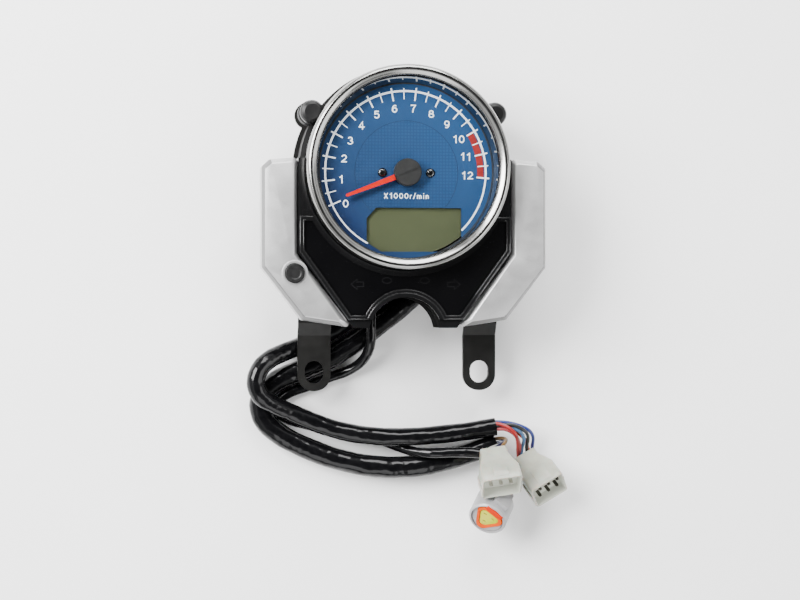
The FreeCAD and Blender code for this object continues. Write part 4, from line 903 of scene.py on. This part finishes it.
GLYPHS = {
    "0": [curve(0, 0, 1, 1, 0, 360)],
    "1": [[(0.35, -1.25), (0.35, 1.25)], [(-0.75, 0.52), (-0.2, 0.66), (0.35, 1.05)]],
    "2": [curve(0, 0.42, 0.92, 0.60, 172, -38) + [(-0.9, -0.96)], [(-1.3, -1), (1.25, -1)]],
    "3": [curve(-0.05, 0.5, 0.86, 0.52, 165, -90), curve(-0.05, -0.48, 0.98, 0.54, 90, -165)],
    "4": [[(0.45, -1.25), (0.45, 1.2), (-1.05, -0.42)], [(-1.3, -0.45), (1.3, -0.45)]],
    "5": [[(0.95, 1), (-0.72, 1), (-0.90, 0.02)], curve(-0.02, -0.36, 0.98, 0.66, 142, -158)],
    "6": [curve(0, -0.38, 0.95, 0.64, 0, 360), curve(0.12, -0.22, 1.07, 1.22, 182, 58)],
    "7": [[(-1.15, 1), (0.95, 1), (0.1, 0.05), (-0.3, -1.25)]],
    "8": [curve(0, 0.5, 0.80, 0.50, 0, 360), curve(0, -0.46, 0.98, 0.56, 0, 360)],
    "9": [curve(0, 0.38, 0.95, 0.64, 0, 360), curve(-0.12, 0.22, 1.07, 1.22, 2, -122)],
    "X": [[(-1.05, -1.2), (1.05, 1.2)], [(-1.05, 1.2), (1.05, -1.2)]],
    "r": [[(-0.4, -1.25), (-0.4, 0.35)], curve(0.35, -0.35, 0.72, 0.62, 165, 75)],
    "/": [[(-0.6, -1.3), (0.6, 1.3)]],
    "m": [[(-1.1, -1.25), (-1.1, 0.4)], curve(-0.5, -0.35, 0.58, 0.62, 180, 0) + [(0.08, -1.25)],
          curve(0.66, -0.35, 0.58, 0.62, 180, 0) + [(1.24, -1.25)]],
    "i": [[(0, -1.25), (0, 0.42)], [(0, 0.85), (0, 1.25)]],
    "n": [[(-0.7, -1.25), (-0.7, 0.4)], curve(0, -0.35, 0.7, 0.62, 180, 0) + [(0.7, -1.25)]],
}
NARROW = {"1": 0.86, "r": 0.70, "/": 0.62, "m": 1.18, "i": 0.52, "n": 0.84}


def ribbon(points, width, low, verts, faces):
    """Add a thin flat band that follows the points, closed where its ends meet."""
    high = low + 0.03
    line = [Vector(p) for p in points]
    loop = (line[0] - line[-1]).length < 1e-6
    if loop:
        line.pop()
    count = len(line)
    first = len(verts)
    for i, here in enumerate(line):
        before = line[i - 1] if i or loop else here
        after = line[(i + 1) % count] if i < count - 1 or loop else here
        one = (here - before).normalized() if here != before else (after - here).normalized()
        two = (after - here).normalized() if after != here else one
        along = (one + two).normalized()
        reach = width / 2 / max(0.55, along.dot(one))
        side = Vector((-along.y, along.x)) * reach
        for corner, z in ((here - side, low), (here + side, low), (here + side, high), (here - side, high)):
            verts.append((corner.x * MM, corner.y * MM, z * MM))
    for i in range(count if loop else count - 1):
        faces.extend(ring_faces(first + 4 * ((i + 1) % count), first + 4 * i, 4))
    if not loop:
        faces.append(tuple(first + k for k in range(4)))
        faces.append(tuple(first + 4 * (count - 1) + k for k in (3, 2, 1, 0)))


def lettering(name, words, x, y, tall, wide, pitch, weight):
    """Print made of even strokes: each glyph is wide by tall over its strokes' outsides."""
    verts, faces = [], []
    low = DIAL_TOP + 0.14
    layer = 0
    share = [NARROW.get(letter, 1.0) * pitch for letter in words]
    for i, letter in enumerate(words):
        middle = x - sum(share) / 2 + sum(share[:i]) + share[i] / 2
        for line in GLYPHS[letter]:
            points = [(middle + px * (wide - weight) / 2, y + py * (tall - weight) / 2) for px, py in line]
            ribbon(points, weight, low + 0.004 * layer, verts, faces)
            layer = (layer + 1) % 7
    mesh_piece(name, verts, faces, WHITE_PRINT_PAINTED_GLOW, CLUSTER)


def dial_print():
    """Woven inner disc with its outline, the scale's arcs and ticks, the numbers and the unit."""
    weave = lathe("dial_weave", [(4.6, DIAL_TOP + 0.03), (27.3, DIAL_TOP + 0.03), (27.3, DIAL_TOP + 0.08),
                                 (4.6, DIAL_TOP + 0.08)], WEAVE, centre=AXIS)
    window = [(-21.3, -44), (29.5, -44), (29.5, -20.1), (-15.9, -20.1), (-21.3, -25.9)]
    for side in (-1, 1):
        carve(weave, post((side * SCREW_X, AXIS.y), 1.6, DIAL_TOP - 1, DIAL_TOP + 1))
    outline = arc_band("weave_outline", 27.15, 27.4, 0, 360, INK, DIAL_TOP + 0.085, AXIS)
    for piece in (weave, outline):
        cut(piece, window, DIAL_TOP - 1, DIAL_TOP + 1)
    arc_band("dial_rim_line", 45.5, 46.1, 0, 360, INNER_BLACK, DIAL_TOP + 0.02, Vector((0, -1.1)))
    arc_band("scale_arc", 41.95, 42.95, 204.6, -4.4, WHITE_PRINT_PAINTED_GLOW)
    arc_band("scale_arc_left", 42.05, 42.85, 241.8, 204.6, WHITE_PRINT_PAINTED_GLOW)
    arc_band("scale_arc_right", 42.0, 42.9, -4.4, -45.8, WHITE_PRINT_PAINTED_GLOW)
    arc_band("red_zone", 37.9, 41.3, 31.6, -4.6, RED_PRINT)
    for step in range(25):
        inner, outer, width = (38.2, 44.0, 0.52) if step % 2 else (37.6, 44.5, 0.74)
        mark(f"tick_{step}", FIRST_MARK - MARK_STEP / 2 * step, inner, outer, width)
    for count in range(13):
        turn = math.radians(FIRST_MARK - MARK_STEP * count)
        x, y = Vector((-0.5, -1.0)) + 32.9 * Vector((math.cos(turn), math.sin(turn)))
        if count == 0:
            x, y = -32.0, -18.4
        elif count == 1:
            x, y = x - 1.2, y - 0.9
        lettering(f"numeral_{count}", str(count), x, y, 4.0, 3.0, 3.7, 0.62)
    lettering("unit_words", "X1000r/min", 0.0, -14.2, 2.9, 2.15, 2.80, 0.48)


def dial_screws():
    """Two small domed screws with crossed slots, beside the hub."""
    head = [(0.02, 52.55), (2.4, 52.55), (2.45, 52.9), (2.3, 53.3), (1.9, 53.65), (1.2, 53.9),
            (0.02, 53.98)]
    for side in (-1, 1):
        x = side * SCREW_X
        piece = lathe(f"dial_screw_{side}", head, SCREW_METAL, centre=(x, AXIS.y),
                      steps=64)
        for wide, tall in ((2.1, 0.42), (0.42, 2.1)):
            cut(piece, box(wide, tall, 0.1, x, AXIS.y), 53.2, 55)
        if side < 0:
            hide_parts("dial_screws")


def icons():
    """Faint lamp symbols on the dark window: two turn arrows and two small outlines."""
    verts, faces = [], []
    low = 50.41
    arrow = [(-3.4, 0), (-0.3, 2.6), (-0.3, 1.2), (3.2, 1.2), (3.2, -1.2), (-0.3, -1.2), (-0.3, -2.6),
             (-3.4, 0)]
    for side in (-1, 1):
        points = [(side * (25.5 - x), -60.5 + y) for x, y in arrow]
        ribbon(points, 0.4, low, verts, faces)
        small = [(side * 10 + 2.4 * x, -58.5 + 1.5 * y) for x, y in curve(0, 0, 1, 1, 0, 360)]
        ribbon(small, 0.4, low, verts, faces)
    mesh_piece("lamp_symbols", verts, faces, ICON_PRINT, CLUSTER)


dial_print()
dial_screws()
icons()


# ---- notch

def notch_lining():
    """Stepped, dark, barely reflecting sheet over the notch in the housing's lower edge: painted shade, its
    steps standing for the wall's ridges.
    """
    profile = [(19.3, 21.3), (19.3, 29.4), (19.0, 29.8), (19.0, 35.6), (19.3, 36.0), (19.3, 41.6),
               (19.0, 42.0), (19.0, 46.6), (19.3, 47.0), (19.3, 49.5), (19.38, 49.5), (19.38, 21.3)]
    count = len(profile)
    verts, faces = [], []
    steps = 48
    for i in range(steps + 1):
        turn = math.radians(9.5 + 161 * i / steps)
        verts += [(radius * math.cos(turn) * MM, (NOTCH_Y + radius * math.sin(turn)) * MM, z * MM)
                  for radius, z in profile]
    for i in range(steps):
        faces += ring_faces((i + 1) * count, i * count, count)
    faces.append(tuple(reversed(range(count))))
    faces.append(tuple(range(steps * count, (steps + 1) * count)))
    mesh_piece("notch_lining", verts, faces, NOTCH_SHADE_BLACK, CLUSTER, 30)


notch_lining()


# ---- button's spring

def spring():
    """Return spring under the button; the real one shortens as the button goes down, but this coil keeps
    one length.
    """
    coils, steps, low, high = 5, 24, 36.95, 45.7
    points = []
    for i in range(coils * steps + 1):
        turn = 2 * math.pi * i / steps
        points.append((BUTTON[0] + 3.2 * math.cos(turn), BUTTON[1] + 3.2 * math.sin(turn),
                       low + (high - low) * i / (coils * steps)))
    mesh = meshed(spline("return_spring", "POLY", points, 0.22))
    piece = add_object("return_spring", mesh, STEEL)
    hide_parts("button_spring")
    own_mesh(piece)


spring()


# ---- panel rim

def rim_path(grow):
    """Outline of the panel's raised rim from the bezel down, over the notch and up again."""
    right = [(54.2 - 2.2 * grow, -27.6 + grow), (53.2 + grow, -27.6 + grow),
             (53.2 + grow, -42.4 - 0.4 * grow), (28.8 + 0.6 * grow, -76.4 - grow)]
    reach = 24.0 - grow
    foot = math.degrees(math.asin((10.2 - grow) / reach))
    turns = [math.radians(foot + (180 - 2 * foot) * i / 40) for i in range(41)]
    arch = [(reach * math.cos(turn), NOTCH_Y + reach * math.sin(turn)) for turn in turns]
    return right + arch + [(-x, y) for x, y in reversed(right)]


def bead(name, points, radius, height):
    """Rounded edge along a path, so that the rim catches a thin line of light."""
    data = spline(name, "POLY", [(x, y, height) for x, y in points], radius, 3)
    add_object(name, data, RIM_BLACK, CLUSTER)


bead("rim_bead_outer", rim_path(2.35), 0.38, 51.22)
bead("rim_bead_inner", rim_path(0.65), 0.32, 51.22)


# ---- covers

def cover(side):
    """Silver cap with a bevel all round, hollow below like the moulding it stands for; its outer bevel
    carries painted shade.
    """
    outer = [(56.8, 6), (71.5, 4.7), (75.5, 1), (75.5, -51.6), (54.3, -79.3), (30.6, -82.9),
             (29.4, -81.0), (56.8, -44.5)]
    face = [(58.9, 3.2), (70.6, 2.1), (73.8, -0.6), (73.8, -51.0), (53.4, -76.9), (35.9, -79.5),
            (35.2, -78.8), (58.9, -45.3)]
    outer = rounded([(side * x, y) for x, y in outer], 2.2)
    face = rounded([(side * x, y) for x, y in face], 1.6)
    centre = Vector((side * 62, -42))
    inner = [p + (centre - p).normalized() * 2.2 for p in outer]
    foot, shoulder, top = 34, 46.2, 50
    rings = [(inner, 47.6), (inner, foot), (outer, foot), (outer, shoulder)]
    for share, rise in ((0.03, 0.16), (0.12, 0.30), (0.80, 0.92), (0.92, 0.98), (1.0, 1.0)):
        ring = [a.lerp(b, share) for a, b in zip(outer, face)]
        rings.append((ring, shoulder + (top - shoulder) * rise))
    label = "left" if side < 0 else "right"
    piece = stack(f"cover_{label}_skin", rings, SILVER, angle=28)
    if side < 0:
        carve(piece, post(BUTTON, 5.25, 20, 60, 96))
        boss = [(5.25, 48.6), (5.25, 49.9), (5.4, 50.06), (5.8, 50.14), (6.4, 50.12), (6.9, 49.98),
                (7.1, 49.7), (7.1, 48.6)]
        lathe("button_boss", boss, SILVER, centre=BUTTON, steps=96)
    # outward bevel faces take the darker silver copy: painted shade where light falls off the bevel
    piece.data.materials.append(SILVER_PAINTED_SHADE)
    for polygon in piece.data.polygons:
        if side * polygon.normal.x > 0.1 and 0.2 < polygon.normal.z < 0.98:
            polygon.material_index = 1
    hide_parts(label + "_cover")


cover(-1)
cover(1)


# ---- light and floor

def floor():
    """Wide pale floor at the part's lowest point."""
    low = cad_box[0][2]
    reach = 3.0
    corners = [(-reach, -reach, low), (reach, -reach, low), (reach, reach, low), (-reach, reach, low)]
    mesh = bpy.data.meshes.new("floor")
    mesh.from_pydata(corners, [], [(0, 1, 2, 3)])
    sheet = placed("floor", mesh)
    mesh.materials.append(surface("floor_paper", grey(0.94), grey(0.91), 8, (0.7, 0.85)))


def lamps():
    """Four soft square lamps, aimed at the part."""
    aim = Vector((0, -0.05, 0.03))
    for name, place, power in (("key", (-1.05, 0.45, 0.95), 80), ("fill", (1.05, -0.35, 0.85), 10),
                               ("top", (0.1, 1.15, 0.85), 34), ("low", (-0.1, -1.25, 0.80), 8)):
        data = bpy.data.lights.new(name, "AREA")
        data.size = 0.9
        data.energy = power
        lamp = placed(name, data)
        lamp.location = place
        lamp.rotation_euler = (aim - Vector(place)).to_track_quat("-Z", "Y").to_euler()


def sky():
    """Surroundings in bright and dark bands by height, for the bright ring to mirror."""
    world = bpy.data.worlds.new("studio")
    world.use_nodes = True
    tree = world.node_tree
    background = tree.nodes["Background"]
    background.inputs["Strength"].default_value = 1.0
    direction = tree.nodes.new("ShaderNodeTexCoord")
    split = tree.nodes.new("ShaderNodeSeparateXYZ")
    ramp = tree.nodes.new("ShaderNodeValToRGB")
    stops = ((0.0, 0.8), (0.03, 0.08), (0.14, 0.12), (0.22, 1.4), (0.33, 1.5), (0.39, 0.30), (0.50, 0.40),
             (0.58, 1.5), (0.72, 1.1), (0.84, 0.25), (0.95, 0.04), (1.0, 0.03))
    bands = ramp.color_ramp.elements
    while len(bands) < len(stops):
        bands.new(0.5)
    for band, (place, level) in zip(bands, stops):
        band.position = place
        band.color = (level, level, level, 1)
    tree.links.new(direction.outputs["Generated"], split.inputs["Vector"])
    tree.links.new(split.outputs["Z"], ramp.inputs["Fac"])
    tree.links.new(ramp.outputs["Color"], background.inputs["Color"])
    bpy.context.scene.world = world


floor()
lamps()
sky()
